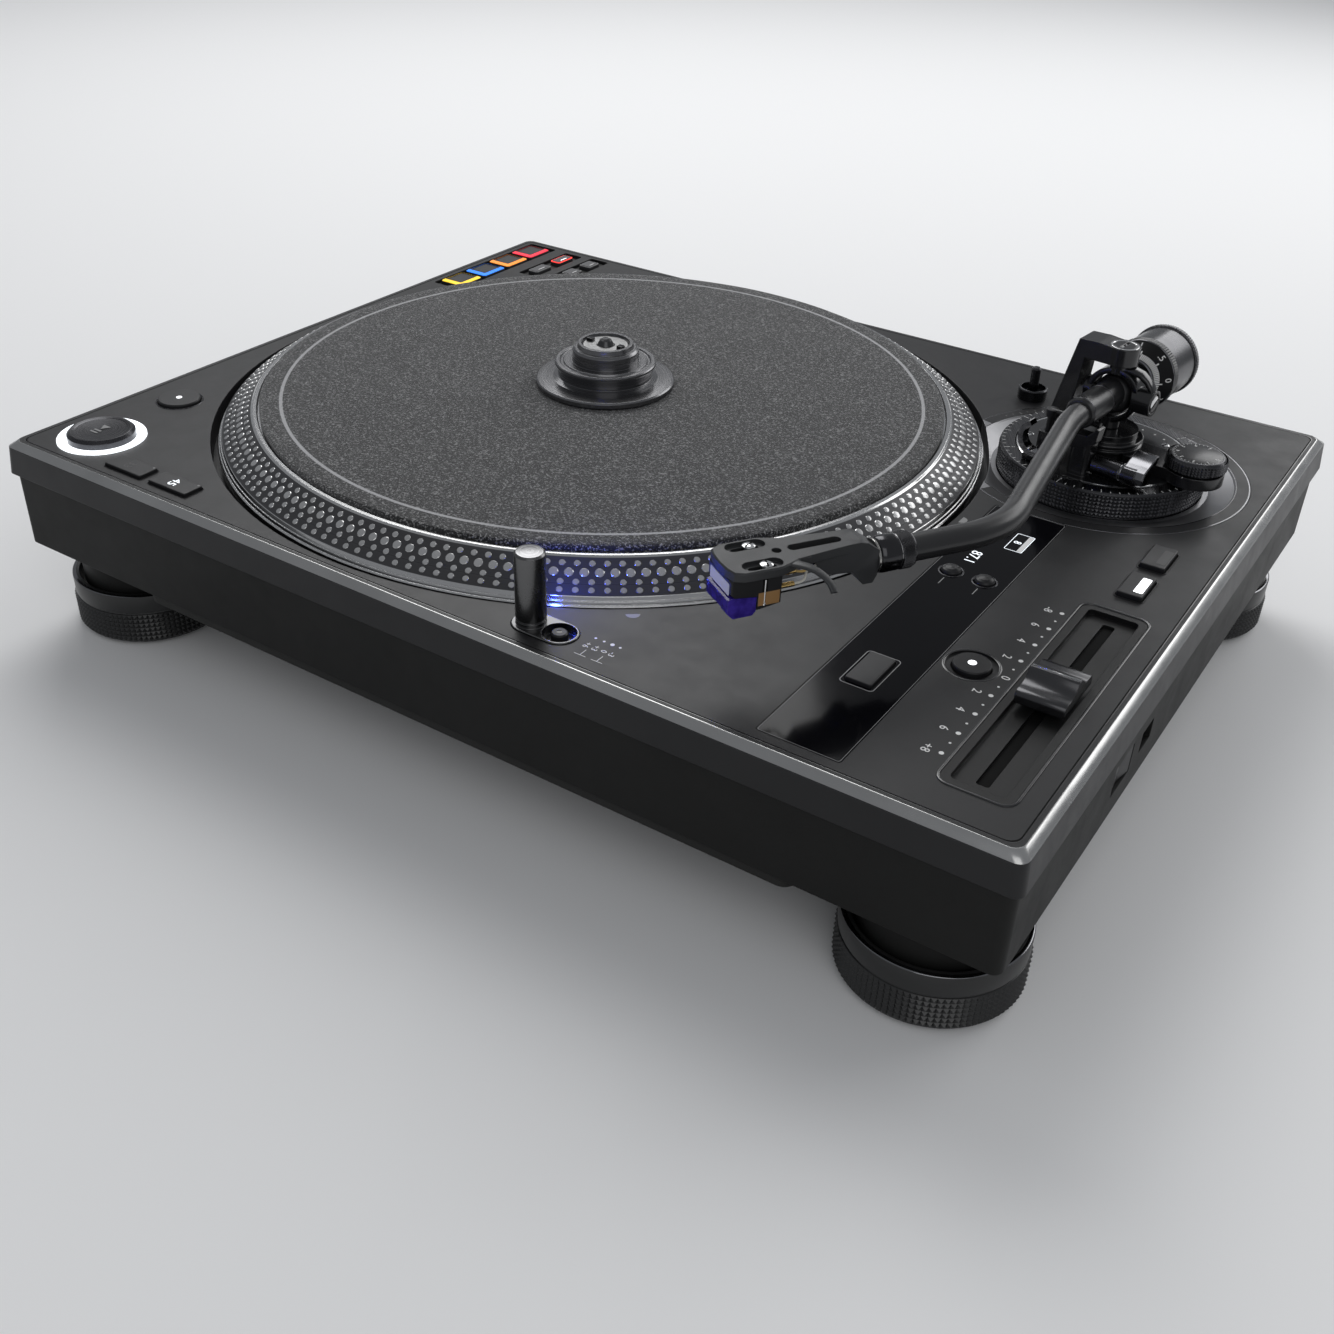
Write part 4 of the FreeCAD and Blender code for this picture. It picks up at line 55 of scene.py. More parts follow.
# The S-shaped tube: its runs up to the two bends, and from the second one to the nut and the headshell
FIRST_RUN, SECOND_RUN, NUT_RUN, SHELL_RUN = 39.5, 103.6, 51.5, 51.8
BEND_UP = math.radians(14.9)
BEND_DOWN = math.radians(14.9 - 41.4)
REAR_WALL, SOCKET_Z = 174.5, -31.0
START_SPOT = (-196.8, -148.8)
PILLAR_SPOT, LAMP_SPOT = (38.2, -158.2), (50.3, -158.2)
FADER = (200.5, -92.8)
FADER_DOTS, FADER_STEP = 184.6, 12.6
FEET = {"front_left": (-191.5, -141.8), "front_right": (191.5, -141.8),
        "rear_left": (-191.5, 141.8), "rear_right": (191.5, 141.8)}


def at(x, y, z):
    return Matrix.Translation((x, y, z))


def spin(turn, axis):
    return Matrix.Rotation(turn, 4, axis)


CASE_FRAME = at(0, 0, DECK)
SPINDLE_FRAME = at(SPINDLE[0], SPINDLE[1], DECK)
PIVOT_FRAME = at(PIVOT[0], PIVOT[1], DECK) @ spin(ARM_TURN, "Z")
ARM_FRAME = PIVOT_FRAME @ at(0, 0, ARM_Z)
CORNER = Vector((FIRST_RUN + SECOND_RUN * math.cos(BEND_UP), SECOND_RUN * math.sin(BEND_UP), 0))
LAST_WAY = Vector((math.cos(BEND_DOWN), math.sin(BEND_DOWN), 0))
SHELL_FRAME = ARM_FRAME @ at(*(CORNER + LAST_WAY * SHELL_RUN)) @ spin(BEND_DOWN, "Z")
NUT_FRAME = ARM_FRAME @ at(*(CORNER + LAST_WAY * NUT_RUN)) @ spin(BEND_DOWN, "Z")
GIMBAL_FRAME = PIVOT_FRAME @ at(0, 0, GIMBAL_Z)
# The legends are read from the left side and run towards the front.
READ = spin(-math.pi / 2, "Z")


# Materials

class Shader:
    """A small builder for procedural materials."""

    def __init__(self, name):
        self.material = bpy.data.materials.new(name)
        self.material.use_nodes = True
        self.tree = self.material.node_tree
        self.surface = self.tree.nodes["Principled BSDF"]

    def node(self, kind, **values):
        made = self.tree.nodes.new(kind)
        for key, value in values.items():
            setattr(made, key, value)
        return made

    def link(self, source, target):
        self.tree.links.new(source, target)

    def feed(self, target, value):
        """Link a socket or set a constant."""
        if isinstance(value, bpy.types.NodeSocket):
            self.link(value, target)
        else:
            target.default_value = value

    def math(self, operation, a, b=0.0):
        made = self.node("ShaderNodeMath", operation=operation)
        for number, value in enumerate((a, b)):
            self.feed(made.inputs[number], value)
        return made.outputs[0]

    def place(self):
        return self.node("ShaderNodeTexCoord").outputs["Object"]

    def reach(self, centre):
        """Distance from an upright axis, and the height, both in metres."""
        made = self.node("ShaderNodeSeparateXYZ")
        self.link(self.place(), made.inputs[0])
        x, y, z = made.outputs
        if centre:
            x = self.math("SUBTRACT", x, centre[0] * MM)
            y = self.math("SUBTRACT", y, centre[1] * MM)
        squares = self.math("ADD", self.math("MULTIPLY", x, x), self.math("MULTIPLY", y, y))
        return self.math("SQRT", squares), z

    def noise(self, scale, detail, roughness, vector=None):
        made = self.node("ShaderNodeTexNoise")
        for key, value in (("Scale", scale), ("Detail", detail), ("Roughness", roughness)):
            made.inputs[key].default_value = value
        self.link(self.place() if vector is None else vector, made.inputs["Vector"])
        return made.outputs["Fac"]

    def ramp(self, factor, low, high, start, end):
        made = self.node("ShaderNodeMapRange")
        self.feed(made.inputs["Value"], factor)
        for key, value in (("From Min", start), ("From Max", end), ("To Min", low), ("To Max", high)):
            made.inputs[key].default_value = value
        return made.outputs[0]

    def mix(self, factor, a, b):
        made = self.node("ShaderNodeMix", data_type="RGBA")
        self.feed(made.inputs["Factor"], factor)
        for key, value in ((6, a), (7, b)):
            if isinstance(value, bpy.types.NodeSocket):
                self.link(value, made.inputs[key])
            else:
                made.inputs[key].default_value = (*value, 1.0)
        return made.outputs[2]

    def bump(self, height, strength, distance):
        made = self.node("ShaderNodeBump")
        made.inputs["Strength"].default_value = strength
        made.inputs["Distance"].default_value = distance
        self.link(height, made.inputs["Height"])
        if self.surface.inputs["Normal"].links:
            self.link(self.surface.inputs["Normal"].links[0].from_socket, made.inputs["Normal"])
        self.link(made.outputs[0], self.surface.inputs["Normal"])

    def edge(self, radius):
        made = self.node("ShaderNodeBevel", samples=6)
        made.inputs["Radius"].default_value = radius
        self.link(made.outputs[0], self.surface.inputs["Normal"])

    def set(self, **values):
        names = {"color": "Base Color", "rough": "Roughness", "metal": "Metallic", "sheen": "Sheen Weight",
                 "specular": "Specular IOR Level", "glow": "Emission Strength", "glow_color": "Emission Color",
                 "clear": "Transmission Weight"}
        for key, value in values.items():
            socket = self.surface.inputs[names[key]]
            if isinstance(value, tuple) and len(value) == 3:
                value = (*value, 1.0)
            self.feed(socket, value)
        return self


def plain(name, color, rough, metal=0.0, edge=0.00025, grain=None, spread=0.06, specular=0.3):
    """A finish with slightly uneven gloss, softened edges and, if asked, a grain of (strength, scale)."""
    made = Shader(name)
    if edge:
        made.edge(edge)
    blotch = made.noise(60.0, 5.0, 0.7)
    made.set(rough=made.ramp(blotch, rough - spread, rough + spread, 0.3, 0.7), metal=metal,
             specular=0.5 if metal else specular)
    tint = made.noise(22.0, 3.0, 0.5)
    darker = tuple(channel * 0.86 for channel in color)
    made.set(color=made.mix(made.ramp(tint, 0.0, 1.0, 0.35, 0.65), darker, color))
    if grain:
        strength, scale = grain
        made.bump(made.noise(scale, 3.0, 0.6), strength, 0.0001)
    return made


def turned_metal(name, color, rough, centre=None, metal=1.0, rings=2600.0, depth=0.25, edge=0.0003):
    """Metal turned on a lathe about an upright axis: fine rings and a slightly uneven gloss."""
    made = Shader(name)
    if edge:
        made.edge(edge)
    reach, z = made.reach(centre)
    joined = made.node("ShaderNodeCombineXYZ")
    made.link(reach, joined.inputs[0])
    made.link(z, joined.inputs[1])
    fine = made.noise(rings, 2.0, 0.5, joined.outputs[0])
    made.set(color=color, metal=metal, rough=made.ramp(fine, rough * 0.75, rough * 1.3, 0.3, 0.7))
    made.bump(fine, depth, 0.00003)
    return made


CASE_TOP = plain("case_top_black", (0.013, 0.013, 0.014), 0.40, edge=0.0005,
                 grain=(0.22, 2600), spread=0.05, specular=0.28)
CASE_EDGE = plain("case_edge_black", (0.016, 0.016, 0.017), 0.24, edge=0,
                  grain=(0.06, 2600), spread=0.04, specular=0.75)
CASE_LOWER = plain("case_lower_black", (0.012, 0.012, 0.0115), 0.5,
                   edge=0.0005, grain=(0.35, 2100), spread=0.05, specular=0.15)
COVER_GREY = plain("cover_grey", (0.022, 0.022, 0.021), 0.6, edge=0.0004,
                   grain=(0.3, 1800), spread=0.05, specular=0.2)
GLOSS = plain("gloss_black", (0.005, 0.005, 0.006), 0.09, edge=0.0004, spread=0.02, specular=0.45)
DISH = plain("dish_satin", (0.30, 0.30, 0.31), 0.36, metal=1.0, edge=0.0003,
             grain=(0.05, 3000), spread=0.04)
# Black band in the groove round the dish: painted shade of the groove, drawn flat.
DISH_GROOVE_SHADE = plain("dish_groove_painted_shade", (0.010, 0.010, 0.011), 0.38, edge=0.0002,
            grain=(0.05, 3000), spread=0.04, specular=0.25)
YOKE = plain("yoke_gloss_black", (0.010, 0.010, 0.011), 0.17, edge=0.0006,
             grain=(0.04, 3000), spread=0.04, specular=0.6)
KNURL = plain("knurled_black", (0.085, 0.085, 0.09), 0.30, metal=1.0, edge=0, spread=0.05)
BEVEL = plain("case_bevel", (0.46, 0.46, 0.455), 0.24, metal=1.0, edge=0,
              grain=(0.05, 2600), spread=0.05)
PANEL = plain("panel_black", (0.003, 0.003, 0.004), 0.10, edge=0.0002, spread=0.02, specular=0.10)
PLASTIC = plain("button_black", (0.014, 0.014, 0.015), 0.38, edge=0.0003, grain=(0.12, 3200))
TRAY = plain("tray_black", (0.008, 0.008, 0.008), 0.45, edge=0.0003, grain=(0.2, 2600), specular=0.25)
ARM_PAINT = plain("arm_satin_black", (0.014, 0.014, 0.015), 0.30, edge=0.0003,
                  grain=(0.14, 3600), spread=0.05, specular=0.55)
SHELL_PAINT = plain("shell_satin_grey", (0.028, 0.029, 0.031), 0.42,
                    edge=0.0003, grain=(0.30, 4200), spread=0.05, specular=0.4)
BLACK_METAL = turned_metal("black_anodised", (0.060, 0.060, 0.064), 0.26)
COLLAR_GLOSS = plain("collar_gloss", (0.055, 0.055, 0.058), 0.17,
                          metal=1.0, edge=0.0002, spread=0.04)
DARK_CHROME = plain("dark_chrome", (0.20, 0.20, 0.21), 0.13, metal=1.0, edge=0.0002, spread=0.04)
PUCK_METAL = turned_metal("puck_anodised", (0.17, 0.17, 0.175), 0.24,
                          centre=SPINDLE, rings=3000.0, depth=0.3)
PLATTER_METAL = turned_metal("platter_polished", (0.55, 0.55, 0.55), 0.16,
                             centre=SPINDLE, rings=2400.0, depth=0.18)
BAND_METAL = turned_metal("platter_band", (0.055, 0.055, 0.058), 0.34,
                          centre=SPINDLE, metal=0.6, rings=1600.0, depth=0.2, edge=0)
DOT_METAL = plain("strobe_dot", (0.55, 0.55, 0.55), 0.28, metal=0.92, edge=0, spread=0.04)
STEEL = plain("polished_steel", (0.70, 0.70, 0.70), 0.14, metal=1.0, edge=0.0002, spread=0.04)
PILLAR = plain("pillar_satin", (0.16, 0.16, 0.162), 0.27, metal=1.0,
               edge=0.0003, grain=(0.05, 3000), spread=0.03)
CORE = plain("core_steel", (0.16, 0.16, 0.17), 0.45, metal=1.0, edge=0.0003, grain=(0.2, 900))
BRASS = plain("brass", (0.62, 0.44, 0.19), 0.28, metal=1.0, edge=0.0002)
WEIGHT = plain("weight_satin_steel", (0.105, 0.105, 0.11), 0.27, metal=1.0,
               edge=0.0004, grain=(0.12, 1500), spread=0.05)
KNOB = plain("knob_satin", (0.075, 0.075, 0.078), 0.24, metal=0.9,
             edge=0.0004, grain=(0.05, 3000), spread=0.04)
RUBBER = plain("foot_black", (0.014, 0.014, 0.014), 0.33, edge=0,
               grain=(0.05, 1500), spread=0.05, specular=0.55)
PAD = plain("pad_grey", (0.10, 0.10, 0.105), 0.45, edge=0.0003, grain=(0.15, 2500))
PAD_DARK = plain("pad_side", (0.03, 0.03, 0.032), 0.5, edge=0.0003)
PRINT_WHITE = plain("print_white", (0.80, 0.80, 0.79), 0.5, edge=0, spread=0.03)
PRINT_GREY = plain("print_grey", (0.26, 0.26, 0.26), 0.5, edge=0, spread=0.03)
PRINT_DIM = plain("print_dim", (0.07, 0.07, 0.07), 0.5, edge=0, spread=0.03)
# Near-black for slots, grooves and gaps: painted shade where little light reaches into them.
SLOT_SHADE = plain("painted_slot_shade", (0.004, 0.004, 0.004), 0.8, edge=0, spread=0.03, specular=0.1)
RED_PLASTIC = plain("jack_red", (0.45, 0.03, 0.03), 0.35, edge=0)
WHITE_PLASTIC = plain("jack_white", (0.6, 0.6, 0.58), 0.35, edge=0)
GOLD = plain("gold_plate", (0.75, 0.52, 0.20), 0.2, metal=1.0, edge=0)
WASHER = plain("washer_metal", (0.42, 0.41, 0.39), 0.22, metal=1.0, edge=0.0001, grain=(0.1, 3000))
CARRIER = plain("carrier_brown", (0.30, 0.17, 0.07), 0.32, edge=0.0002, grain=(0.2, 2600))
DIAL_PAINT = plain("dial_matt_black", (0.008, 0.008, 0.0085), 0.5,
                   edge=0.0003, grain=(0.1, 3600), spread=0.05, specular=0.12)
FIBRE = plain("felt_fibre", (0.13, 0.13, 0.135), 0.9, edge=0, spread=0.02)
PUCK_DISC = turned_metal("puck_disc_satin", (0.30, 0.30, 0.30), 0.34,
                         centre=SPINDLE, rings=3000.0, depth=0.3)
LABEL = plain("label_pale", (0.62, 0.62, 0.65), 0.4, edge=0, grain=(0.1, 2600))


def tinted():
    """Clear moulded plastic of the stylus guard, tinted violet."""
    made = Shader("guard_violet")
    made.edge(0.0002)
    cloud = made.noise(300.0, 3.0, 0.5)
    color = made.mix(made.ramp(cloud, 0.0, 1.0, 0.35, 0.65), (0.030, 0.016, 0.20), (0.060, 0.035, 0.36))
    made.set(color=color, rough=0.12, clear=0.25, specular=0.5)
    return made


GUARD = tinted()


def glowing(name, color, strength, rough=0.3):
    """A lit lens with a slightly cloudy glow."""
    made = Shader(name)
    cloud = made.noise(400.0, 2.0, 0.5)
    made.set(color=tuple(channel * 0.6 for channel in color), rough=rough, glow_color=color,
             glow=made.ramp(cloud, strength * 0.85, strength * 1.1, 0.35, 0.65))
    return made


RING_LIGHT = glowing("ring_light", (0.92, 0.96, 1.0), 1.6)
WHITE_LED = glowing("white_led", (0.95, 0.97, 1.0), 2.2)
# Its strength is constant, so that the renderer samples it as a lamp.
BLUE_LED = Shader("blue_led").set(color=(0.02, 0.03, 0.4), rough=0.4, glow_color=(0.05, 0.09, 1.0), glow=105.0)
RED_LED = glowing("red_led", (1.0, 0.05, 0.04), 1.6)
DIGIT_LED = glowing("digit_led", (0.85, 0.90, 0.95), 1.2)
PAD_LEDS = [glowing("pad_light_%d" % number, color, 1.0, 0.5) for number, color in enumerate(
    ((0.95, 0.60, 0.01), (0.0, 0.20, 0.95), (0.95, 0.27, 0.01), (0.85, 0.0, 0.03)), start=1)]


def felt():
    """Pressed wool: dark ground, pale flecks and short fibres, with one printed ring."""
    made = Shader("felt")
    reach, _ = made.reach(SPINDLE)
    cloud = made.noise(90.0, 6.0, 0.75)
    fibre = made.noise(1500.0, 5.0, 0.75)
    speck = made.noise(820.0, 3.0, 0.75)
    crumb = made.noise(1050.0, 2.0, 0.7)
    fleck = made.math("MAXIMUM", made.ramp(speck, 0.0, 1.0, 0.575, 0.615), made.ramp(crumb, 0.0, 1.0, 0.585, 0.625))
    ground = made.mix(made.ramp(cloud, 0.0, 1.0, 0.3, 0.7), (0.010, 0.010, 0.010), (0.020, 0.020, 0.021))
    pitted = made.mix(made.ramp(speck, 0.8, 0.0, 0.30, 0.46), ground, (0.008, 0.008, 0.008))
    speckled = made.mix(made.math("MULTIPLY", fleck, 0.8), pitted, (0.30, 0.30, 0.30))
    near = made.math("ABSOLUTE", made.math("SUBTRACT", reach, MAT_RING * MM))
    print_mask = made.ramp(near, 1.0, 0.0, 0.00055, 0.00085)
    worn = made.math("MULTIPLY", print_mask, made.ramp(fibre, 0.55, 1.0, 0.38, 0.52))
    color = made.mix(worn, speckled, (0.44, 0.44, 0.45))
    made.set(color=color, rough=0.95, sheen=0.35, specular=0.12)
    made.bump(cloud, 0.35, 0.0006)
    made.bump(fibre, 0.9, 0.0004)
    return made


FELT = felt()


# Mesh helpers

def put(name, mesh, shader, body):
    """An object with one finish, riding on a body."""
    mesh.materials.append(shader.material)
    thing = bpy.data.objects.new(name, mesh)
    bpy.context.scene.collection.objects.link(thing)
    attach(thing, body)
    return thing


def sharp_edges(mesh, limit):
    """For each edge, whether its faces meet at more than the limit."""
    normals = [polygon.normal.copy() for polygon in mesh.polygons]
    sides = {}
    for polygon in mesh.polygons:
        for key in polygon.edge_keys:
            sides.setdefault(key, []).append(polygon.index)
    flags = []
    for edge in mesh.edges:
        found = [normals[index] for index in sides.get(tuple(sorted(edge.vertices)), [])]
        if len(found) != 2:
            flags.append(True)
        elif min(normal.length for normal in found) < 1e-9:
            flags.append(False)
        else:
            flags.append(found[0].angle(found[1]) > limit)
    return flags


def make(name, points, faces, shader, body, place=CASE_FRAME, smooth=True):
    """A mesh in millimetres, set in a frame and riding on a body."""
    mesh = bpy.data.meshes.new(name)
    moved = [tuple((place @ Vector(point)) * MM) for point in points]
    mesh.from_pydata(moved, [], faces)
    mesh.validate()
    mesh.update()
    if smooth:
        mesh.polygons.foreach_set("use_smooth", [True] * len(mesh.polygons))
        sharp = mesh.attributes.new("sharp_edge", "BOOLEAN", "EDGE")
        sharp.data.foreach_set("value", sharp_edges(mesh, math.radians(35)))
    return put(name, mesh, shader, body)


def ring_faces(rings, count):
    """Faces between successive closed rings of points."""
    faces = []
    for row in range(rings - 1):
        for n in range(count):
            m = (n + 1) % count
            faces.append((row * count + n, row * count + m, (row + 1) * count + m, (row + 1) * count + n))
    return faces


def lathe(profile, segments=64, closed=False, axis="Z"):
    """Points and faces of a profile of (radius, height) pairs turned about an axis."""
    points, faces = [], []
    count = len(profile)
    for step in range(segments):
        turn = 2 * math.pi * step / segments
        c, s = math.cos(turn), math.sin(turn)
        for radius, height in profile:
            points.append({"X": (height, radius * c, radius * s), "Y": (radius * s, height, radius * c),
                           "Z": (radius * c, radius * s, height)}[axis])
    last = count if closed else count - 1
    for step in range(segments):
        following = (step + 1) % segments
        for row in range(last):
            upper = (row + 1) % count
            faces.append((step * count + row, following * count + row, following * count + upper,
                          step * count + upper))
    return points, faces


def turned(name, profile, shader, body, place=CASE_FRAME, segments=64, closed=False, axis="Z"):
    """A piece turned about an axis of its frame."""
    points, faces = lathe(profile, segments, closed, axis)
    return make(name, points, faces, shader, body, place)


def arm_turned(name, profile, shader, body, segments, place=ARM_FRAME):
    """A piece turned about the arm's own axis."""
    return turned(name, profile, shader, body, place, segments, axis="X")


def prism(outline, low, high):
    """Points and faces of an upright prism."""
    count = len(outline)
    points = [(x, y, low) for x, y in outline] + [(x, y, high) for x, y in outline]
    faces = [tuple(reversed(range(count))), tuple(range(count, 2 * count))]
    faces += [(n, (n + 1) % count, count + (n + 1) % count, count + n) for n in range(count)]
    return points, faces


def merge(parts):
    """Join lists of (points, faces) into one."""
    points, faces = [], []
    for some_points, some_faces in parts:
        base = len(points)
        points.extend(some_points)
        faces.extend(tuple(base + index for index in face) for face in some_faces)
    return points, faces


def circle_points(radius, segments, x=0.0, y=0.0):
    """Outline of a circle about (x, y)."""
    step = 2 * math.pi / segments
    return [(x + radius * math.cos(step * n), y + radius * math.sin(step * n)) for n in range(segments)]


def radial(turn, near, far, half):
    """Outline of a tick that points away from the centre."""
    c, s = math.cos(turn), math.sin(turn)
    return [(reach * c - side * s, reach * s + side * c) for reach, side in
            ((far, -half), (far, half), (near, half), (near, -half))]


def rounded(x, y, width, depth, corner, steps=5):
    """Outline of a rounded rectangle about (x, y)."""
    outline = []
    for sx, sy, start in ((1, -1, -90), (1, 1, 0), (-1, 1, 90), (-1, -1, 180)):
        cx, cy = x + sx * (width / 2 - corner), y + sy * (depth / 2 - corner)
        for n in range(steps + 1):
            turn = math.radians(start + 90 * n / steps)
            outline.append((cx + corner * math.cos(turn), cy + corner * math.sin(turn)))
    return outline


def frame_shape(outer, inner, low, high):
    """A band between two outlines with the same number of points."""
    count = len(outer)
    points = [(x, y, z) for outline, z in ((outer, low), (outer, high), (inner, high), (inner, low))
              for x, y in outline]
    faces = []
    for n in range(count):
        m = (n + 1) % count
        for near, far in ((0, count), (count, 2 * count), (2 * count, 3 * count), (3 * count, 0)):
            faces.append((near + n, near + m, far + m, far + n))
    return points, faces


def marks(name, outlines, z, body, shader=PRINT_WHITE, place=CASE_FRAME, thick=0.03):
    """Printed marks: very thin raised shapes."""
    points, faces = merge([prism(outline, z, z + thick) for outline in outlines])
    make(name, points, faces, shader, body, place, smooth=False)


def numeral(name, text, size, place, body, shader=PRINT_WHITE):
    """A plain number set in the built-in face, flattened to a mesh."""
    curve = bpy.data.curves.new(name + "_curve", "FONT")
    curve.body = text
    curve.size = size
    curve.extrude = 0.02
    curve.align_x = curve.align_y = "CENTER"
    curve.resolution_u = 3
    holder = bpy.data.objects.new(name + "_holder", curve)
    bpy.context.scene.collection.objects.link(holder)
    bpy.context.view_layer.update()
    mesh = bpy.data.meshes.new_from_object(holder.evaluated_get(bpy.context.evaluated_depsgraph_get()))
    mesh.name = name
    bpy.data.objects.remove(holder)
    mesh.transform(Matrix.Scale(MM, 4) @ place)
    mesh.materials.clear()
    put(name, mesh, shader, body)


def deck_numeral(name, text, size, x, y, shader=PRINT_WHITE, body="case", rise=0.02):
    """A number that lies on the top plate or on a button in it."""
    numeral(name, text, size, at(x, y, DECK + rise) @ READ, body, shader)


def dial_numerals(name, count, start, step, reach, z, size, facing, body, place):
    """Numbers from 0 up round a flat dial; the angles are in degrees."""
    for n in range(count):
        turn = math.radians(start + step * n)
        spot = place @ at(reach * math.cos(turn), reach * math.sin(turn), z)
        numeral("%s_%d" % (name, n), str(n), size, spot @ spin(turn + math.radians(facing), "Z"), body)


def knurl_grid(radius, low, high, around, rows, depth):
    """Points and faces of a band of diamond knurls about X, whose crossing points stand proud in turn."""
    points, faces = [], []
    columns = around * 2
    lines = rows * 2 + 1
    for line in range(lines):
        height = low + (high - low) * line / (lines - 1)
        for column in range(columns):
            turn = 2 * math.pi * column / columns
            peak = (line + column) % 2 == 1 and 0 < line < lines - 1
            reach = radius if peak else radius - depth
            points.append((height, reach * math.cos(turn), reach * math.sin(turn)))
    for line in range(lines - 1):
        for column in range(columns):
            following = (column + 1) % columns
            a, b = line * columns + column, line * columns + following
            c, d = (line + 1) * columns + following, (line + 1) * columns + column
            if (line + column) % 2 == 1:
                faces.extend([(a, b, d), (b, c, d)])
            else:
                faces.extend([(a, b, c), (a, c, d)])
    return points, faces


def pyramids(radius, low, high, around, rows, depth):
    """Points and faces of a band of small square pyramids about Z in even rows and columns."""
    points, faces = [], []

    def add(turn, reach, height):
        points.append((reach * math.cos(turn), reach * math.sin(turn), height))

    rise = (high - low) / rows
    for line in range(rows + 1):
        for column in range(around):
            add(2 * math.pi * column / around, radius - depth, low + rise * line)
    for line in range(rows):
        for column in range(around):
            add(2 * math.pi * (column + 0.5) / around, radius, low + rise * (line + 0.5))
            top = len(points) - 1
            following = (column + 1) % around
            a, b = line * around + column, line * around + following
            c, d = b + around, a + around
            faces.extend([(a, b, top), (b, c, top), (c, d, top), (d, a, top)])
    return points, faces


def stepped(levels):
    """Points and faces of a skin through level outlines, given as (outline, height) pairs."""
    points = [(x, y, z) for outline, z in levels for x, y in outline]
    return points, ring_faces(len(levels), len(levels[0][0]))


def flat_rim(name, x, y, outer, inner, low, high, shader, body="case", place=CASE_FRAME):
    """A flat band round a rectangle, between two outlines given as (width, depth, corner)."""
    make(name, *frame_shape(rounded(x, y, *outer), rounded(x, y, *inner), low, high), shader, body, place)


def raised_rim(name, x, y, width, depth, corner, wide, rise, base):
    """A rounded bead round a rectangular opening."""
    levels = []
    for share, height in ((0.0, 0.0), (0.12, 0.7), (0.35, 1.0), (0.65, 1.0), (0.88, 0.7), (1.0, 0.0)):
        grow = wide * (1 - share)
        levels.append((rounded(x, y, width + 2 * grow, depth + 2 * grow, corner + grow), base + rise * height))
    make(name, *stepped(levels), CASE_EDGE, "case")


def ridge_band(name, radius, low, high, count, depth, shader, body):
    """A band of fine straight ridges round the arm's axis."""
    points, faces = [], []
    for column in range(count * 2):
        turn = math.pi * column / count
        reach = radius if column % 2 else radius - depth
        points += [(height, reach * math.cos(turn), reach * math.sin(turn)) for height in (low, high)]
        base, following = column * 2, (column * 2 + 2) % (count * 4)
        faces.append((base, following, following + 1, base + 1))
    make(name, points, faces, shader, body, ARM_FRAME, smooth=False)


def swept(sections):
    """Points and faces of a closed skin through outlines that have the same number of points."""
    count = len(sections[0])
    points = [point for section in sections for point in section]
    faces = [tuple(reversed(range(count))), tuple(range(len(points) - count, len(points)))]
    return points, faces + ring_faces(len(sections), count)


def strap(path, side, half, thick, steps, powers):
    """Points and faces of a tapered strap along a path, with a soft square for its cross-section.

    The side is fixed, or else lies level across the path. The half widths and half thicknesses
    are pairs of (first, last), and the corners are the squarer the lower the powers.
    """
    sections = []
    last = len(path) - 1
    for number, spot in enumerate(path):
        way = (Vector(path[min(number + 1, last)]) - Vector(path[max(number - 1, 0)])).normalized()
        across = side or Vector((0, 0, 1)).cross(way).normalized()
        up = way.cross(across)
        share = number / last
        wide = half[0] + (half[1] - half[0]) * share
        deep = thick[0] + (thick[1] - thick[0]) * share
        outline = []
        for step in range(steps):
            c, s = math.cos(2 * math.pi * step / steps), math.sin(2 * math.pi * step / steps)
            outline.append(tuple(Vector(spot) + across * wide * math.copysign(abs(c) ** powers[0], c)
                                 + up * deep * math.copysign(abs(s) ** powers[1], s)))
        sections.append(outline)
    return swept(sections)


def cross_screw(name, x, y, z, radius, body, shader, place, turn):
    """A small raised screw head with a cross slot."""
    spot = place @ at(x, y, 0)
    turned(name, [(0, z + radius * 0.22), (radius * 0.75, z + radius * 0.2), (radius, z + 0.02), (radius, z)],
           shader, body, spot, 24)
    long, narrow = radius * 1.2, radius * 0.26
    cuts = [rounded(0, 0, long, narrow, 0.02, 1), rounded(0, 0, narrow, long, 0.02, 1)]
    # The cross slot is not cut: it is a thin near-black mark, painted shade standing for the slot.
    marks(name + "_slot", cuts, z + radius * 0.205, body, SLOT_SHADE, spot @ spin(turn, "Z"), 0.04)


# Finishes of the modelled pieces

FINISHES = {
    "top_case": CASE_TOP, "lower_case": CASE_LOWER, "bottom_cover": COVER_GREY, "arm_base_panel": DISH,
    "control_panel": PANEL, "pad_tray": TRAY, "pitch_fader": TRAY, "start_light_ring": RING_LIGHT,
    "strobe_pillar": PILLAR, "headshell_stand": BLACK_METAL, "stator": CORE, "spindle_bearing": BRASS,
    "power_supply": CORE, "power_inlet": PLASTIC, "audio_terminals": PLASTIC, "platter": PLATTER_METAL,
    "rotor_magnet": CORE, "spindle": KNOB, "puck": PUCK_METAL, "target_lamp": PLASTIC,
    "start_button": BLACK_METAL, "fader_knob": PLASTIC, "power_switch": PLASTIC, "height_ring": BLACK_METAL,
    "arm_platform": YOKE, "arm_clip": DARK_CHROME, "lifter": ARM_PAINT, "cue_lever": BLACK_METAL,
    "antiskate_knob": BLACK_METAL, "gimbal": YOKE, "arm_tube": ARM_PAINT, "collar_nut": BLACK_METAL,
    "headshell": SHELL_PAINT, "cartridge": PLASTIC, "stylus": GUARD, "weight_bush": BLACK_METAL,
    "counterweight": WEIGHT, "force_dial": DIAL_PAINT,
}
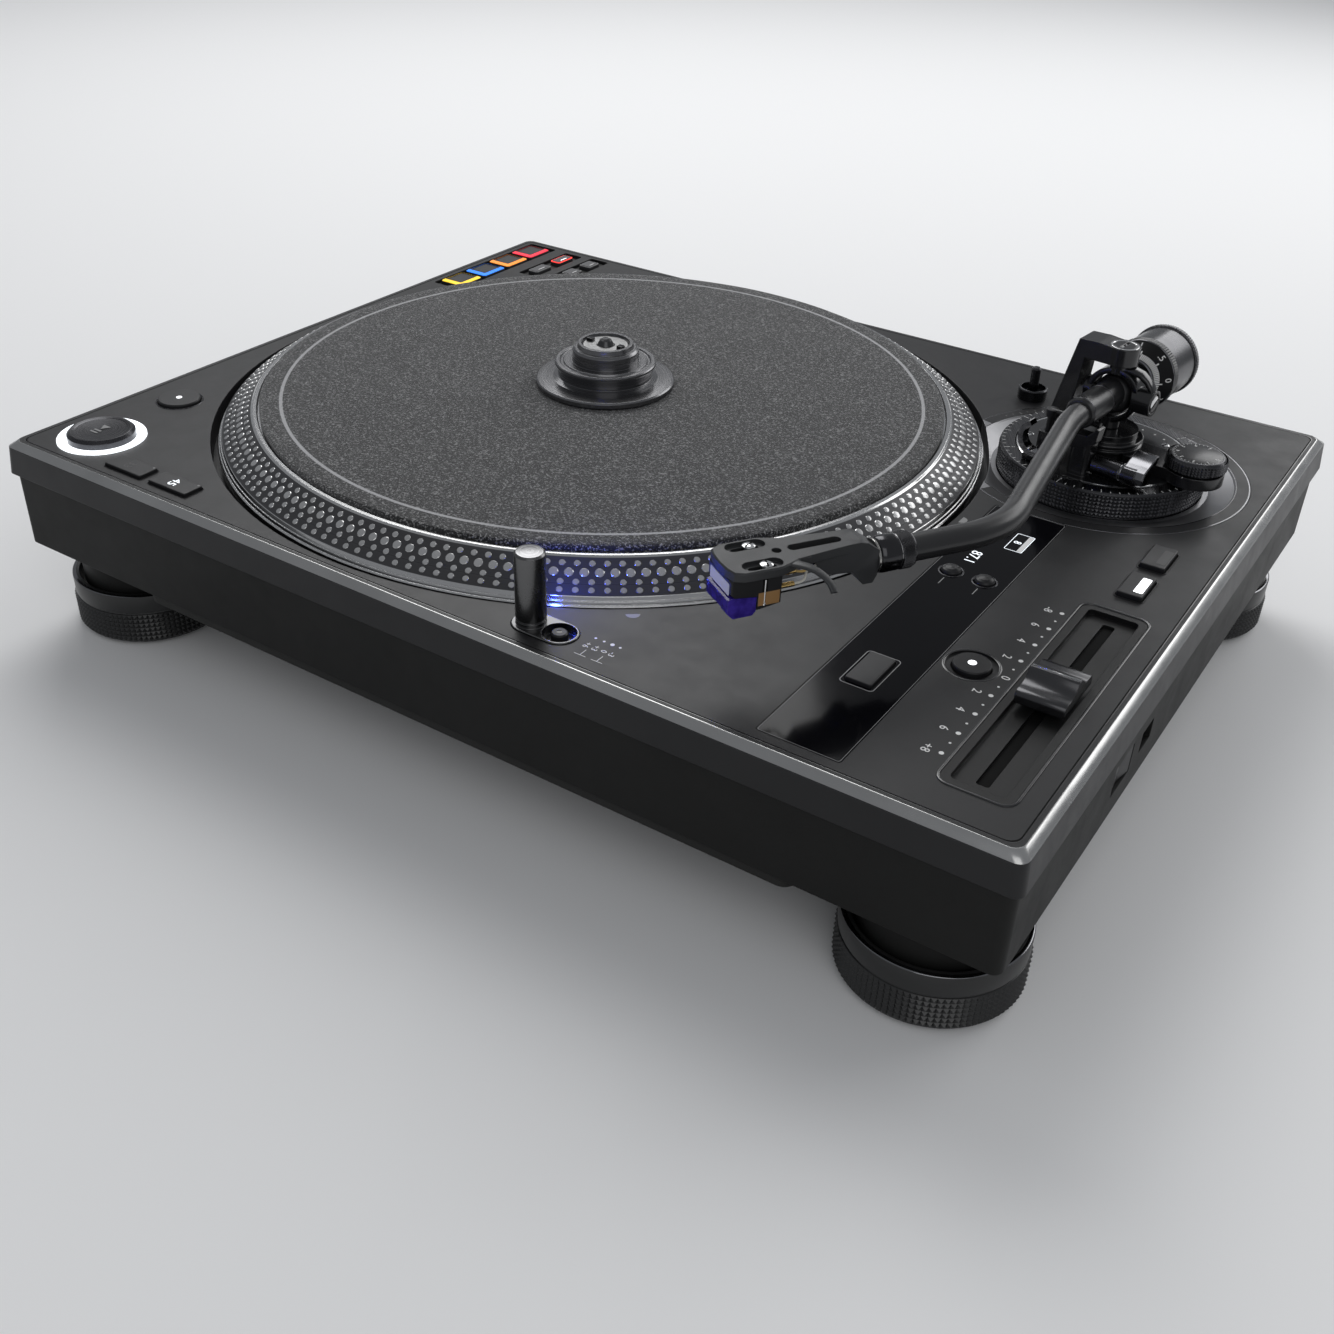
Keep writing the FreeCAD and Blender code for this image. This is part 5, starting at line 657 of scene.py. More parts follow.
for node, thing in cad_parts.items():
    rest = PAD_DARK if node.startswith(("pad_", "mode_", "deck_")) else PLASTIC
    shader = FINISHES.get(node, RUBBER if node.startswith("foot") else rest)
    thing.data.materials.clear()
    thing.data.materials.append(shader.material)


# Edge of the top plate

def case_edge():
    """Polished bevel round the top plate, with a fine groove just inside it that is only a flat near-black strip of
    painted shade beside a glossy lip.
    """
    lean = 1.0
    run = lean + 3.0

    def rim(inset):
        return rounded(0, 0, CASE_WIDTH - 2 * inset, CASE_DEPTH - 2 * inset, 4.0, 8)

    bevel = [(rim(inset), z) for inset, z in
             ((run + 0.25, 0.015), (run, 0.02), (run - 0.4, -0.27), (lean + 0.1, -2.27), (lean - 0.02, -2.6))]
    make("case_bevel", *stepped(bevel), BEVEL, "case")
    # The groove is painted shade: a flat near-black strip on the plate, with no cut.
    make("case_groove", *stepped([(rim(run + 2.0), 0.012), (rim(run + 2.5), 0.012)]), SLOT_SHADE, "case")
    make("case_groove_lip", *stepped([(rim(run + 1.7), 0.012), (rim(run + 2.0), 0.012)]), CASE_EDGE, "case")


case_edge()


# Platter

def strobe_dots():
    """Four rows of raised dots on the sloped band of the platter."""
    low, high = (164.4, 2.0), (151.5, 10.8)
    count, steps = 180, 12
    shares_radii_shifts = ((0.155, 1.25, 0.0), (0.36, 1.25, 0.0), (0.60, 1.75, 0.5), (0.83, 1.25, 0.0))
    lean = math.atan2(high[1] - low[1], low[0] - high[0])
    above = Vector((0, 0, 1))
    points, faces = [], []
    for share, radius, shift in shares_radii_shifts:
        reach = low[0] + (high[0] - low[0]) * share
        height = low[1] + (high[1] - low[1]) * share
        for number in range(count):
            turn = 2 * math.pi * (number + shift) / count
            out = Vector((math.cos(turn), math.sin(turn), 0))
            side = Vector((-math.sin(turn), math.cos(turn), 0))
            up = -out * math.cos(lean) + above * math.sin(lean)
            normal = out * math.sin(lean) + above * math.cos(lean)
            centre = out * reach + above * height + normal * 0.02
            base = len(points)
            for ring, rise in ((1.0, 0.0), (0.86, 0.22)):
                points += [tuple(centre + side * x + up * y + normal * rise)
                           for x, y in circle_points(radius * ring, steps)]
            points.append(tuple(centre + normal * 0.34))
            for step in range(steps):
                following = (step + 1) % steps
                faces.append((base + step, base + following, base + steps + following, base + steps + step))
                faces.append((base + steps + step, base + steps + following, base + 2 * steps))
    make("strobe_dots", points, faces, DOT_METAL, "platter", SPINDLE_FRAME)
    inset = 0.35
    turned("strobe_band", [(low[0] - inset * 0.6, low[1] + inset * 0.4 + 0.01),
                           (high[0] + inset * 0.6, high[1] - inset * 0.4 + 0.01)],
           BAND_METAL, "platter", SPINDLE_FRAME @ at(0, 0, 0.015), 360)


strobe_dots()


def felt_mat():
    """The slip mat: a pressed felt disc with soft edges, a centre hole and a slight swell."""
    outer, hole, low, high = MAT_RADIUS, MAT_HOLE, MAT_LOW, MAT_TOP
    soft, steps = outer - 1.6, 46
    profile = [(hole, low), (outer - 0.5, low), (outer, low + 0.5), (outer - 0.05, high - 0.9),
               (outer - 0.6, high - 0.25), (soft, high)]
    profile += [(soft - (soft - hole - 0.8) * n / steps, high) for n in range(1, steps)]
    profile += [(hole + 0.8, high), (hole, high - 0.5)]
    points, faces = lathe(profile, 240, closed=True)
    moved = []
    for x, y, z in points:
        reach = math.hypot(x, y)
        turn = math.atan2(y, x)
        swell = 0.10 * math.sin(3 * turn + 0.6) * math.sin(reach / 26.0) + 0.05 * math.sin(7 * turn + reach / 17.0)
        edge_wave = 0.12 * math.sin(9 * turn) + 0.09 * math.sin(23 * turn + 1.0)
        if reach > outer - 2.0:
            x, y = x * (1 + edge_wave / reach), y * (1 + edge_wave / reach)
        if z > low + 1.0 and 32 < reach < outer - 1.0:
            z += swell
        moved.append((x, y, z))
    mat = make("felt_mat", moved, faces, FELT, "slipmat", SPINDLE_FRAME)
    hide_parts("slipmat")


felt_mat()


def mat_fibres():
    """Loose wool ends that stand out of the felt."""
    random.seed(12)
    count, inner, outer = 3000, 31.5, 147.4
    points, faces = [], []
    for _ in range(count):
        reach = math.sqrt(random.uniform(inner ** 2, outer ** 2))
        turn = random.uniform(0, 2 * math.pi)
        x, y = reach * math.cos(turn), reach * math.sin(turn)
        way = random.uniform(0, 2 * math.pi)
        length = random.uniform(0.5, 1.2)
        half = random.uniform(0.03, 0.05)
        dx, dy = math.cos(way), math.sin(way)
        rise = random.uniform(0.05, 0.35)
        base = len(points)
        z = MAT_TOP + 0.08
        for along, across, up in ((0, 1, 0), (0, -1, 0), (0.6 * length, -1, rise), (0.6 * length, 1, rise)):
            points.append((x + dx * along - dy * half * across, y + dy * along + dx * half * across, z + up))
        points.append((x + dx * length + random.uniform(-0.2, 0.2), y + dy * length, z + rise * 0.6))
        faces.extend([(base, base + 1, base + 2, base + 3), (base + 3, base + 2, base + 4)])
    make("felt_fibres", points, faces, FIBRE, "slipmat", SPINDLE_FRAME, smooth=False)


mat_fibres()


def puck_head():
    """Satin disc in the head of the record weight, with two dark lugs."""
    turned("puck_disc", [(3.8, 27.2), (3.8, 30.9), (4.1, 31.2), (9.6, 31.2), (10.1, 30.8), (10.1, 28.8)],
           PUCK_DISC, "puck", SPINDLE_FRAME, 96)
    levels = ((31.15, (3.0, 2.8, 0.4)), (32.3, (3.0, 2.8, 0.4)), (32.5, (2.5, 2.3, 0.3)))
    for number, side in enumerate((-1, 1)):
        lug = [[(x, y, z) for x, y in rounded(8.0 * side, 0, *size, 3)] for z, size in levels]
        make("puck_lug_%d" % number, *swept(lug), GLOSS, "puck", SPINDLE_FRAME)


puck_head()


# Controls of the left side

def left_controls():
    """Start, motor and speed buttons with their marks."""
    spot = at(*START_SPOT, DECK)
    cap = turned_metal("start_cap_metal", (0.035, 0.035, 0.038), 0.27, centre=START_SPOT, metal=0.9)
    turned("start_cap", [(0, 3.36), (10.2, 3.56), (10.6, 3.60), (11.3, 3.86), (12.5, 3.86), (13.7, 2.66)],
           cap, "start_button", spot, 96)
    symbol = [[(0.0, 0.0), (-3.6, 2.2), (-3.6, -2.2)], rounded(1.5, 0, 1.0, 4.2, 0.05, 1),
              rounded(3.4, 0, 1.0, 4.2, 0.05, 1)]
    marks("start_symbol", symbol, 3.58, "start_button", PRINT_GREY, spot @ READ)
    off = at(-201.0, -104.0, DECK)
    turned("motor_off_led", [(0, 1.75), (0.9, 1.7), (1.3, 1.55)], WHITE_LED, "motor_off_button", off, 24)
    turned("motor_off_rim", [(9.75, 0.02), (9.9, 0.22), (10.2, 0.22), (10.35, 0.02)], BLACK_METAL, "case", off, 64)
    y = -161.1
    for number, x, label, body, shader in ((1, -163.4, "33", "speed_low_button", PRINT_DIM),
                                           (2, -137.35, "45", "speed_high_button", DIGIT_LED)):
        deck_numeral("speed_number_%d" % number, label, 5.6, x - 0.5, y, shader, body, 1.52)
        marks("speed_led_%d" % number, [circle_points(0.5, 12, x + 9.4, -157.4)], 1.51, body, PRINT_GREY)
        flat_rim("speed_rim_%d" % number, x, y, (22.6, 10.8, 1.6), (21.9, 10.1, 1.25), 0.0, 0.16, CASE_TOP)


left_controls()


def pads():
    """Grey caps with lit rims on the pads and small buttons."""
    for number in range(4):
        x, y = -208.6, 95.6 + 20.0 * number
        body = "pad_%d" % (number + 1)
        outer = rounded(x, y, 13.6, 17.1, 1.2)
        inner = rounded(x - 1.0, y + 1.2, 10.9, 13.8, 0.9)
        top = rounded(x - 1.0, y + 1.2, 10.3, 13.2, 0.7)
        rim = stepped([(outer, 0.2), (outer, 0.5), (inner, 0.72)])
        make("pad_rim_%d" % (number + 1), *rim, PAD_LEDS[number], body)
        make("pad_cap_%d" % (number + 1), *stepped([(inner, 0.5), (inner, 0.8), (top, 1.0)]), PAD, body)
    for kind, x, spots, width, depth in (("mode", -186.25, (135.5, 155.5), 6.4, 13.0),
                                         ("deck", -169.0, (142.0, 158.0), 7.3, 9.6)):
        for number, y in enumerate(spots, start=1):
            body = "%s_button_%d" % (kind, number)
            tail = "_%d" % number
            lit = kind == "mode" and number == 2
            cap = prism(rounded(x, y, width - 1.4, depth - 1.4, 0.7), 0.3, 0.85)
            make(kind + "_cap" + tail, *cap, PAD, body)
            flat_rim(kind + "_rim" + tail, x, y, (width - 0.3, depth - 0.3, 0.9), (width - 1.2, depth - 1.2, 0.7),
                     0.2, 0.66, RED_LED if lit else PRINT_GREY, body)
            line = rounded(x + width / 2 - 1.9, y, 0.5, depth * 0.4, 0.1, 1)
            marks(kind + "_line" + tail, [line], 0.86, body, WHITE_LED if lit else PRINT_WHITE)


pads()


# Strobe pillar and lamp

def strobe():
    """Strobe pillar with its light, the lamp beside it and the marks round them."""
    spot = at(*PILLAR_SPOT, DECK)
    top = turned_metal("pillar_top_metal", (0.24, 0.24, 0.245), 0.30, centre=PILLAR_SPOT, rings=3500.0, depth=0.5)
    turned("pillar_top", [(0, 28.03), (4.5, 28.03), (4.72, 27.96)], top, "case", spot, 64)
    turned("pillar_sleeve", [(5.40, 3.1), (5.43, 3.2), (5.43, 27.2)], PILLAR, "case", spot, 96)
    count = 8
    turns = [math.radians(46 + 6.0 * n) for n in range(count)]
    window = [(5.47 * math.cos(t), 5.47 * math.sin(t), z) for z in (4.5, 19.5) for t in turns]
    panes = [(n, n + 1, n + 1 + count, n + count) for n in range(count - 1)]
    make("pillar_led", window, panes, BLUE_LED, "case", spot)
    lamp = at(*LAMP_SPOT, DECK)
    turned("lamp_top", [(0, 0.93), (1.6, 0.93), (2.4, 0.9)], PLASTIC, "target_lamp", lamp, 32)
    turned("lamp_lens", [(0, 1.02), (0.7, 1.0), (1.0, 0.94)], GLOSS, "target_lamp", lamp, 24)
    legends = ((61.8, "+6", 0.5), (65.3, "+3", 0.5), (68.7, "0", 0.8), (71.9, "-3", 0.5))
    marks("speed_dots", [circle_points(radius, 16, x, -153.1) for x, _, radius in legends], 0.01, "case")
    for number, (x, label, _) in enumerate(legends):
        deck_numeral("speed_legend_%d" % number, label, 3.2, x, LAMP_SPOT[1])
    lines = [rounded(x, y, width, depth, 0.05, 1) for y, width, depth in ((-164.5, 4.6, 0.22), (-162.6, 0.22, 3.6))
             for x in (63.5, 70.3)]
    marks("speed_brackets", lines, 0.01, "case")
    for number, (x, y) in enumerate(((63.0, -132.9), (126.0, 2.0))):
        away = math.atan2(y - SPINDLE[1], x - SPINDLE[0])
        turns = [away - math.pi / 2 + math.pi * n / 16 for n in range(17)]
        half = [(2.6 * math.cos(t), 2.6 * math.sin(t)) for t in turns]
        marks("half_moon_%d" % number, [half], 0.01, "case", PRINT_GREY, at(x, y, DECK))


strobe()


# Control panel and pitch fader

def panel_prints():
    """Lines, digits and marks of the control panel and the buttons right of it."""
    flat_rim("panel_line", 147.0, -71.75, (29.0, 187.9, 0.9), (28.7, 187.6, 0.8), -0.01, 0.02, PRINT_GREY)
    flat_rim("needle_line", 146.3, -115.5, (12.6, 22.4, 1.6), (12.0, 21.8, 1.4), 0.0, 0.03, PRINT_GREY)
    deck_numeral("tempo_digits", "87.1", 6.0, 142.0, -23.0, DIGIT_LED)
    key_y = -2.2
    flat_rim("key_box", 152.3, key_y, (7.2, 14.6, 0.6), (6.7, 14.1, 0.5), 0.0, 0.03, DIGIT_LED)
    deck_numeral("key_digits", "8", 4.4, 151.3, key_y, DIGIT_LED)
    marks("key_strip", [rounded(154.6, key_y, 1.9, 13.6, 0.3, 2)], 0.01, "case")
    bars = [rounded(137.6 + 0.9 * n, 12.0, 0.45, 3.0 + 0.9 * n, 0.1, 1) for n in range(7)]
    marks("level_bars", bars, 0.01, "case", DIGIT_LED)
    for number, x in enumerate((139.9, 153.2)):
        turned("round_rim_%d" % number, [(4.15, 0.02), (4.3, 0.16), (4.75, 0.16), (4.9, 0.02)], BLACK_METAL,
               "case", at(x, -37.7, DECK), 48)
        marks("round_legend_%d" % number, [rounded(x, -46.5, 0.35, 5.0, 0.05, 1)], 0.01, "case", PRINT_GREY)
    spot = at(172.2, -92.2, DECK)
    turned("reset_led", [(0, 1.24), (1.0, 1.18), (1.5, 1.04)], WHITE_LED, "reset_button", spot, 24)
    turned("reset_rim", [(9.0, 0.02), (9.3, 0.18), (9.7, 0.18), (10.0, 0.02)], CASE_EDGE, "case", spot, 64)
    x = 200.2
    for body, y, shader in (("pitch_range_button", -9.2, WHITE_LED), ("key_lock_button", 16.5, PRINT_DIM)):
        marks(body + "_window", [rounded(x + 2.2, y, 3.4, 12.0, 0.4, 2)], 2.01, body, shader)
        flat_rim(body + "_rim", x, y, (11.4, 19.8, 1.8), (10.3, 18.7, 1.4), 0.0, 0.16, CASE_TOP)


panel_prints()


def fader_prints():
    """Rims, dots and numbers of the pitch fader, and its knob with smooth scoops."""
    x, y = FADER
    raised_rim("fader_rim", x, y, 24.2, 126.1, 4.0, 1.1, 0.45, 0.0)
    raised_rim("fader_slot_rim", x, y, 4.45, 111.4, 0.9, 0.8, 0.35, -3.0)
    # The dust lips are a real dark part; their near-black colour also paints the shade down in the slot.
    marks("fader_dust_lips", [rounded(x, y, 4.3, 111.2, 0.9)], -3.1, "case", SLOT_SHADE)
    large = [circle_points(0.85, 18, FADER_DOTS, spot) for spot in
             (-42.3, -54.9, -67.7, -80.1, -105.3, -117.9, -130.7, -143.2)]
    small = [circle_points(0.45, 12, FADER_DOTS, y + FADER_STEP * (n + 0.5)) for n in range(-4, 4)]
    marks("fader_dots", large + small, 0.01, "case")
    for number, label in enumerate(("-8", "6", "4", "2", "0", "2", "4", "6", "+8")):
        column = 184.3 if number == 4 else 179.6
        deck_numeral("fader_number_%d" % number, label, 4.4, column, y + FADER_STEP * (4 - number))
    outline = [(-12.5, 0.7), (12.5, 0.7), (12.5, 3.0), (12.3, 3.9), (11.8, 4.5), (10.9, 4.9), (9.5, 5.0),
               (8.0, 4.95), (6.6, 5.05), (5.4, 5.35), (4.4, 5.85), (3.5, 6.5), (2.7, 7.3), (2.0, 8.05),
               (1.5, 8.5), (0.9, 8.7)]
    outline += [(-a, b) for a, b in reversed(outline[2:])]
    shrunk = [(a * 0.975, 4.0 + (b - 4.0) * 0.93) for a, b in outline]
    sections = [[(reach, a, b) for a, b in rim] for reach, rim in
                ((-8.5, shrunk), (-8.15, outline), (8.15, outline), (8.5, shrunk))]
    stem = prism(rounded(0, 0, 3.6, 9.0, 0.6, 3), -13.0, 1.0)
    knob = make("knob", *merge([swept(sections), stem]), KNOB, "fader_knob", at(x, y, DECK))
    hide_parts("fader_knob")
    make("fader_knob_line", *prism(rounded(x, y, 16.2, 1.1, 0.1, 1), 8.69, 8.74), STEEL, "fader_knob")


fader_prints()


# Arm base

def arc_band(name, near, far, shader):
    """A thin band on the base panel's rim, left open where the platter's recess bites into it."""
    recess = RECESS_RADIUS + 0.25
    dx, dy = SPINDLE[0] - PIVOT[0], SPINDLE[1] - PIVOT[1]
    away = math.hypot(dx, dy)
    toward = math.atan2(dy, dx) - ARM_TURN
    reach = math.acos((away * away + far * far - recess * recess) / (2 * away * far))
    start, stop = toward + reach, toward + 2 * math.pi - reach
    steps = 180
    turns = [start + (stop - start) * n / steps for n in range(steps + 1)]
    points = [(reach * math.cos(t), reach * math.sin(t), z) for reach, z in
              ((far, 0.0), (far, 0.03), (near, 0.03), (near, 0.0)) for t in turns]
    row = steps + 1
    faces = []
    for n in range(steps):
        for low, high in ((0, row), (row, 2 * row), (2 * row, 3 * row), (3 * row, 0)):
            faces.append((low + n, low + n + 1, high + n + 1, high + n))
    faces += [(0, row, 2 * row, 3 * row), (steps, 3 * row + steps, 2 * row + steps, row + steps)]
    make(name, points, faces, shader, "case", PIVOT_FRAME, smooth=False)


def arm_base():
    """Height ring with its scale, the arm platform's marks and screws, and the bands of the dished panel."""
    place = PIVOT_FRAME
    for number, z in enumerate((0.5, 6.0)):
        turned("height_ring_edge_%d" % number, [(42.55, z), (42.62, z + 0.15), (42.62, z + 0.45), (42.55, z + 0.6)],
               BLACK_METAL, "height_ring", place, 160)
    make("height_ring_knurl", *pyramids(43.0, -3.2, 6.4, 168, 6, 0.7), KNURL, "height_ring", place, smooth=False)
    ticks = [radial(math.radians(-150 + 5 * n), 41.9 - (1.4 if n % 5 else 2.6), 41.9, 0.13) for n in range(61)]
    marks("height_scale", ticks, 7.51, "height_ring", PRINT_WHITE, place)
    dial_numerals("height_number", 7, -150, 50, 38.0, 7.52, 1.9, 90, "height_ring", place)
    turned("platform_edge", [(35.9, 7.62), (35.4, 7.83), (34.9, 7.83), (34.7, 7.81)], STEEL, "arm_platform",
           place, 128)
    for n, (x, y) in enumerate(((-22, 18), (-22, -20), (24, -24), (8, -30))):
        cross_screw("platform_screw_%d" % n, x, y, 7.82, 1.7, "arm_platform", STEEL, place, 0.5 * n)
    dots = [circle_points(0.5, 12, x, y) for x, y in ((-30, 4), (-29, 10), (-27, 15), (-30.4, -2))]
    marks("platform_dots", dots, 7.81, "arm_platform", PRINT_WHITE, place)
    ticks = [radial(math.radians(150 + 3.9 * n), 58.4 - (1.1 if n % 3 else 2.2), 58.4, 0.12) for n in range(27)]
    marks("dish_scale", ticks, 0.04, "case", PRINT_GREY, place)
    # The black band between the two bright edge bands is painted shade of the groove round the dish.
    for name, near, far, shader in (("dish_groove_shade", 55.7, 60.4, DISH_GROOVE_SHADE), ("dish_line", 60.5, 60.9, DARK_CHROME),
                                    ("dish_lip", 55.3, 55.7, COLLAR_GLOSS)):
        arc_band(name, near, far, shader)


arm_base()


def yoke_details():
    """Pivot screws of the yoke and the face of the gimbal ring."""
    place = PIVOT_FRAME
    turned("yoke_screw", [(0, 53.1), (3.4, 53.1), (3.9, 52.9), (4.0, 52.6)], STEEL, "arm_platform", place, 48)
    # The screw slot is a thin near-black mark: painted shade, with no cut.
    slot = prism(rounded(0, 0, 6.8, 0.8, 0.1, 1), 53.08, 53.14)
    make("yoke_screw_slot", *slot, SLOT_SHADE, "arm_platform", place @ spin(0.7, "Z"))
    turned("yoke_nut", [(4.6, 53.2), (4.9, 53.5), (5.6, 53.5), (5.9, 53.2)], STEEL, "arm_platform", place, 48)
    side = GIMBAL_FRAME @ at(0, 17.0, 0)
    turned("gimbal_screw", [(0, 0.25), (2.9, 0.25), (3.3, 0.05), (3.35, -0.5)], STEEL, "gimbal", side, 48, axis="Y")
    # The screw slot is a thin near-black mark: painted shade, with no cut.
    slot = prism(rounded(0, 0, 5.6, 0.8, 0.1, 1), 0.24, 0.30)
    make("gimbal_screw_slot", *slot, SLOT_SHADE, "gimbal", side @ spin(-math.pi / 2, "X") @ spin(0.5, "Z"))
    turned("gimbal_ring_face", [(9.3, 3.83), (9.6, 3.95), (11.0, 3.95), (11.3, 3.83)],
           BLACK_METAL, "gimbal", GIMBAL_FRAME, 64, axis="X")


yoke_details()


def gimbal_details():
    """Ball of the arm inside the ring, and the curved horn down to the outer pivot screw."""
    turns = [math.pi * n / 20 for n in range(21)]
    turned("arm_ball", [(8.3 * math.sin(t), 8.3 * math.cos(t)) for t in turns], ARM_PAINT, "arm", GIMBAL_FRAME,
           64, axis="X")
    path = [(0, 1.5, 11.2), (0, 5.5, 11.3), (0, 9.6, 10.4), (0, 12.9, 8.3), (0, 15.2, 5.4), (0, 16.0, 2.0),
            (0, 16.0, 0)]
    horn = strap(path, Vector((1, 0, 0)), (3.1, 2.2), (1.35, 1.05), 20, (0.5, 0.7))
    make("gimbal_horn", *horn, YOKE, "gimbal", GIMBAL_FRAME)


gimbal_details()


def lever_details():
    """Tab of the cue lever, and the knurl, numbers and ticks of the anti-skate knob."""
    place = PIVOT_FRAME @ at(25.4, 0.0, 12.2)
    outline = [(3.3, -1.6), (3.6, 0.8), (2.2, 3.3), (-0.95, 4.5), (-7.6, 7.3), (-9.75, 7.1), (-9.3, 5.3),
               (-4.0, 0.55), (-2.1, -3.2)]
    shrunk = [(x * 0.9 - 0.2, z * 0.9 + 0.1) for x, z in outline]
    tab = swept([[(x, y, z) for x, z in rim] for y, rim in
                 ((20.3, shrunk), (20.7, outline), (29.3, outline), (29.7, shrunk))])
    make("lever_tab", *tab, DARK_CHROME, "cue_lever", place)
    turned("lever_ring", [(3.9, 18.9), (4.0, 19.1), (4.0, 19.9), (3.9, 20.1)], DARK_CHROME, "cue_lever", place, 48,
           axis="Y")
    skate = PIVOT_FRAME @ at(1.8, 39.9, 0)
    make("skate_knurl", *pyramids(12.35, 14.0, 18.3, 58, 4, 0.5), KNURL, "antiskate_knob", skate, smooth=False)
    face = plain("skate_face_black", (0.012, 0.012, 0.013), 0.25)
    turned("skate_face", [(0, 19.02), (9.6, 19.02), (10.0, 18.9)], face, "antiskate_knob", skate, 64)
    dial_numerals("skate_number", 8, 90, -40, 7.9, 19.04, 2.3, -90, "antiskate_knob", skate)
    ticks = [radial(math.radians(90 - 10 * n), 9.1, 9.7, 0.1) for n in range(29)]
    marks("skate_ticks", ticks, 19.03, "antiskate_knob", PRINT_WHITE, skate)
    marks("skate_index", [rounded(12.4, 0, 1.2, 0.3, 0.05, 1)], 12.93, "arm_platform", PRINT_WHITE, skate)


lever_details()


# Arm

def dial_numbers():
    """Ticks and numbers on the cone of the tracking force dial; points on it are (x, radius) pairs."""
    wide, narrow = Vector((-23.2, 14.4)), Vector((-16.5, 8.6))
    slope = (wide - narrow).normalized()
    normal = Vector((slope.y, -slope.x))

    def on_cone(share):
        return wide + (narrow - wide) * share + normal * 0.05

    ticks = []
    for n in range(80):
        turn = 2 * math.pi * n / 80
        c, s = math.cos(turn), math.sin(turn)
        far = 0.68 if n % 10 else 0.52
        corners = [(on_cone(share).x, on_cone(share).y * c - side * s, on_cone(share).y * s + side * c)
                   for share, side in ((0.97, -0.2), (0.97, 0.2), (far, 0.26), (far, -0.26))]
        ticks.append((corners, [(0, 1, 2, 3)]))
    make("dial_ticks", *merge(ticks), PRINT_WHITE, "force_dial", ARM_FRAME, smooth=False)
    for n, label in enumerate(("0", ".5", "1", "1.5", "2", "2.5", "3", "3.5")):
        turn = 2 * math.pi * n / 8 + 0.12
        c, s = math.cos(turn), math.sin(turn)
        up = Vector((slope.x, slope.y * c, slope.y * s))
        out = Vector((normal.x, normal.y * c, normal.y * s))
        face = Matrix((up.cross(out), up, out)).transposed().to_4x4()
        spot = on_cone(0.26)
        face.translation = (spot.x, spot.y * c, spot.y * s)
        numeral("dial_number_%d" % n, label, 3.9, ARM_FRAME @ face, "force_dial")


def weight_details():
    """Grips and grooves of the counterweight and its dial, and the cap of the rear shaft."""
    ridge_band("weight_grip", 15.25, -47.45, -45.65, 84, 0.25, WEIGHT, "counterweight")
    # The groove is lined with near-black: painted shade in the groove.
    arm_turned("weight_groove", [(14.44, -44.5), (14.0, -44.7), (14.0, -45.4), (14.9, -45.6)], SLOT_SHADE,
               "counterweight", 96)
    ridge_band("dial_grip", 15.05, -26.9, -23.6, 84, 0.24, ARM_PAINT, "force_dial")
    arm_turned("dial_edge", [(14.85, -23.5), (14.75, -23.3), (14.45, -23.2)], DARK_CHROME, "force_dial", 96)
    arm_turned("dial_nose", [(8.62, -16.55), (8.2, -15.8), (7.8, -15.66), (6.35, -15.66), (6.2, -15.9)],
               DARK_CHROME, "force_dial", 72)
    dial_numbers()
    arm_turned("shaft_cap", [(0, -52.5), (3.4, -52.45), (4.7, -52.0), (5.03, -51.4)], STEEL, "arm", 48)


weight_details()


def sleeve_details():
    """Bands of the arm's sleeve, and the collar nut with its knurl."""
    for number, x in enumerate((14.0, 30.6)):
        arm_turned("sleeve_band_%d" % number, [(6.22, x), (6.42, x + 0.2), (6.42, x + 1.0), (6.22, x + 1.2)],
                   BLACK_METAL, "arm", 64)
    arm_turned("sleeve_end", [(4.8, 32.9), (5.6, 32.7), (6.2, 32.0)], ARM_PAINT, "arm", 64)
    rear = lathe([(5.0, -13.0), (5.9, -13.0), (6.05, -12.5)], 96, False, "X")
    front = lathe([(6.05, -7.9), (5.75, -7.6), (5.75, -7.2), (6.2, -6.9), (6.3, -6.5), (6.3, -1.6), (6.1, -0.6),
                   (5.6, 0.0), (5.0, 0.0), (5.0, -13.0)], 96, False, "X")
    grip = knurl_grid(6.5, -12.5, -7.9, 40, 4, 0.45)
    collar = make("collar", *merge([rear, front, grip]), COLLAR_GLOSS, "collar_nut", NUT_FRAME)
    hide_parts("collar_nut")
    arm_turned("collar_line", [(5.8, -7.55), (6.05, -7.4), (5.8, -7.25)], STEEL, "collar_nut", 72, NUT_FRAME)


sleeve_details()


def lead(name, path, color):
    """One thin insulated wire along a smooth path through the points."""
    around, fine, radius = 8, 8, 0.42
    spots = []
    ends = [path[0]] + list(path) + [path[-1]]
    for n in range(1, len(ends) - 2):
        a, b, c, d = (Vector(spot) for spot in ends[n - 1:n + 3])
        for step in range(fine):
            t = step / fine
            spots.append(0.5 * (2 * b + (c - a) * t + (2 * a - 5 * b + 4 * c - d) * t ** 2
                                + (3 * b - a - 3 * c + d) * t ** 3))
    spots.append(Vector(path[-1]))
    last = len(spots) - 1
    points = []
    for number, spot in enumerate(spots):
        way = (spots[min(number + 1, last)] - spots[max(number - 1, 0)]).normalized()
        side = way.cross(Vector((0, 0, 1))).normalized()
        up = side.cross(way)
        points += [tuple(spot + side * x + up * y) for x, y in circle_points(radius, around)]
    cover = plain(name + "_color", color, 0.45, edge=0)
    make(name, points, ring_faces(len(spots), around), cover, "arm", SHELL_FRAME)


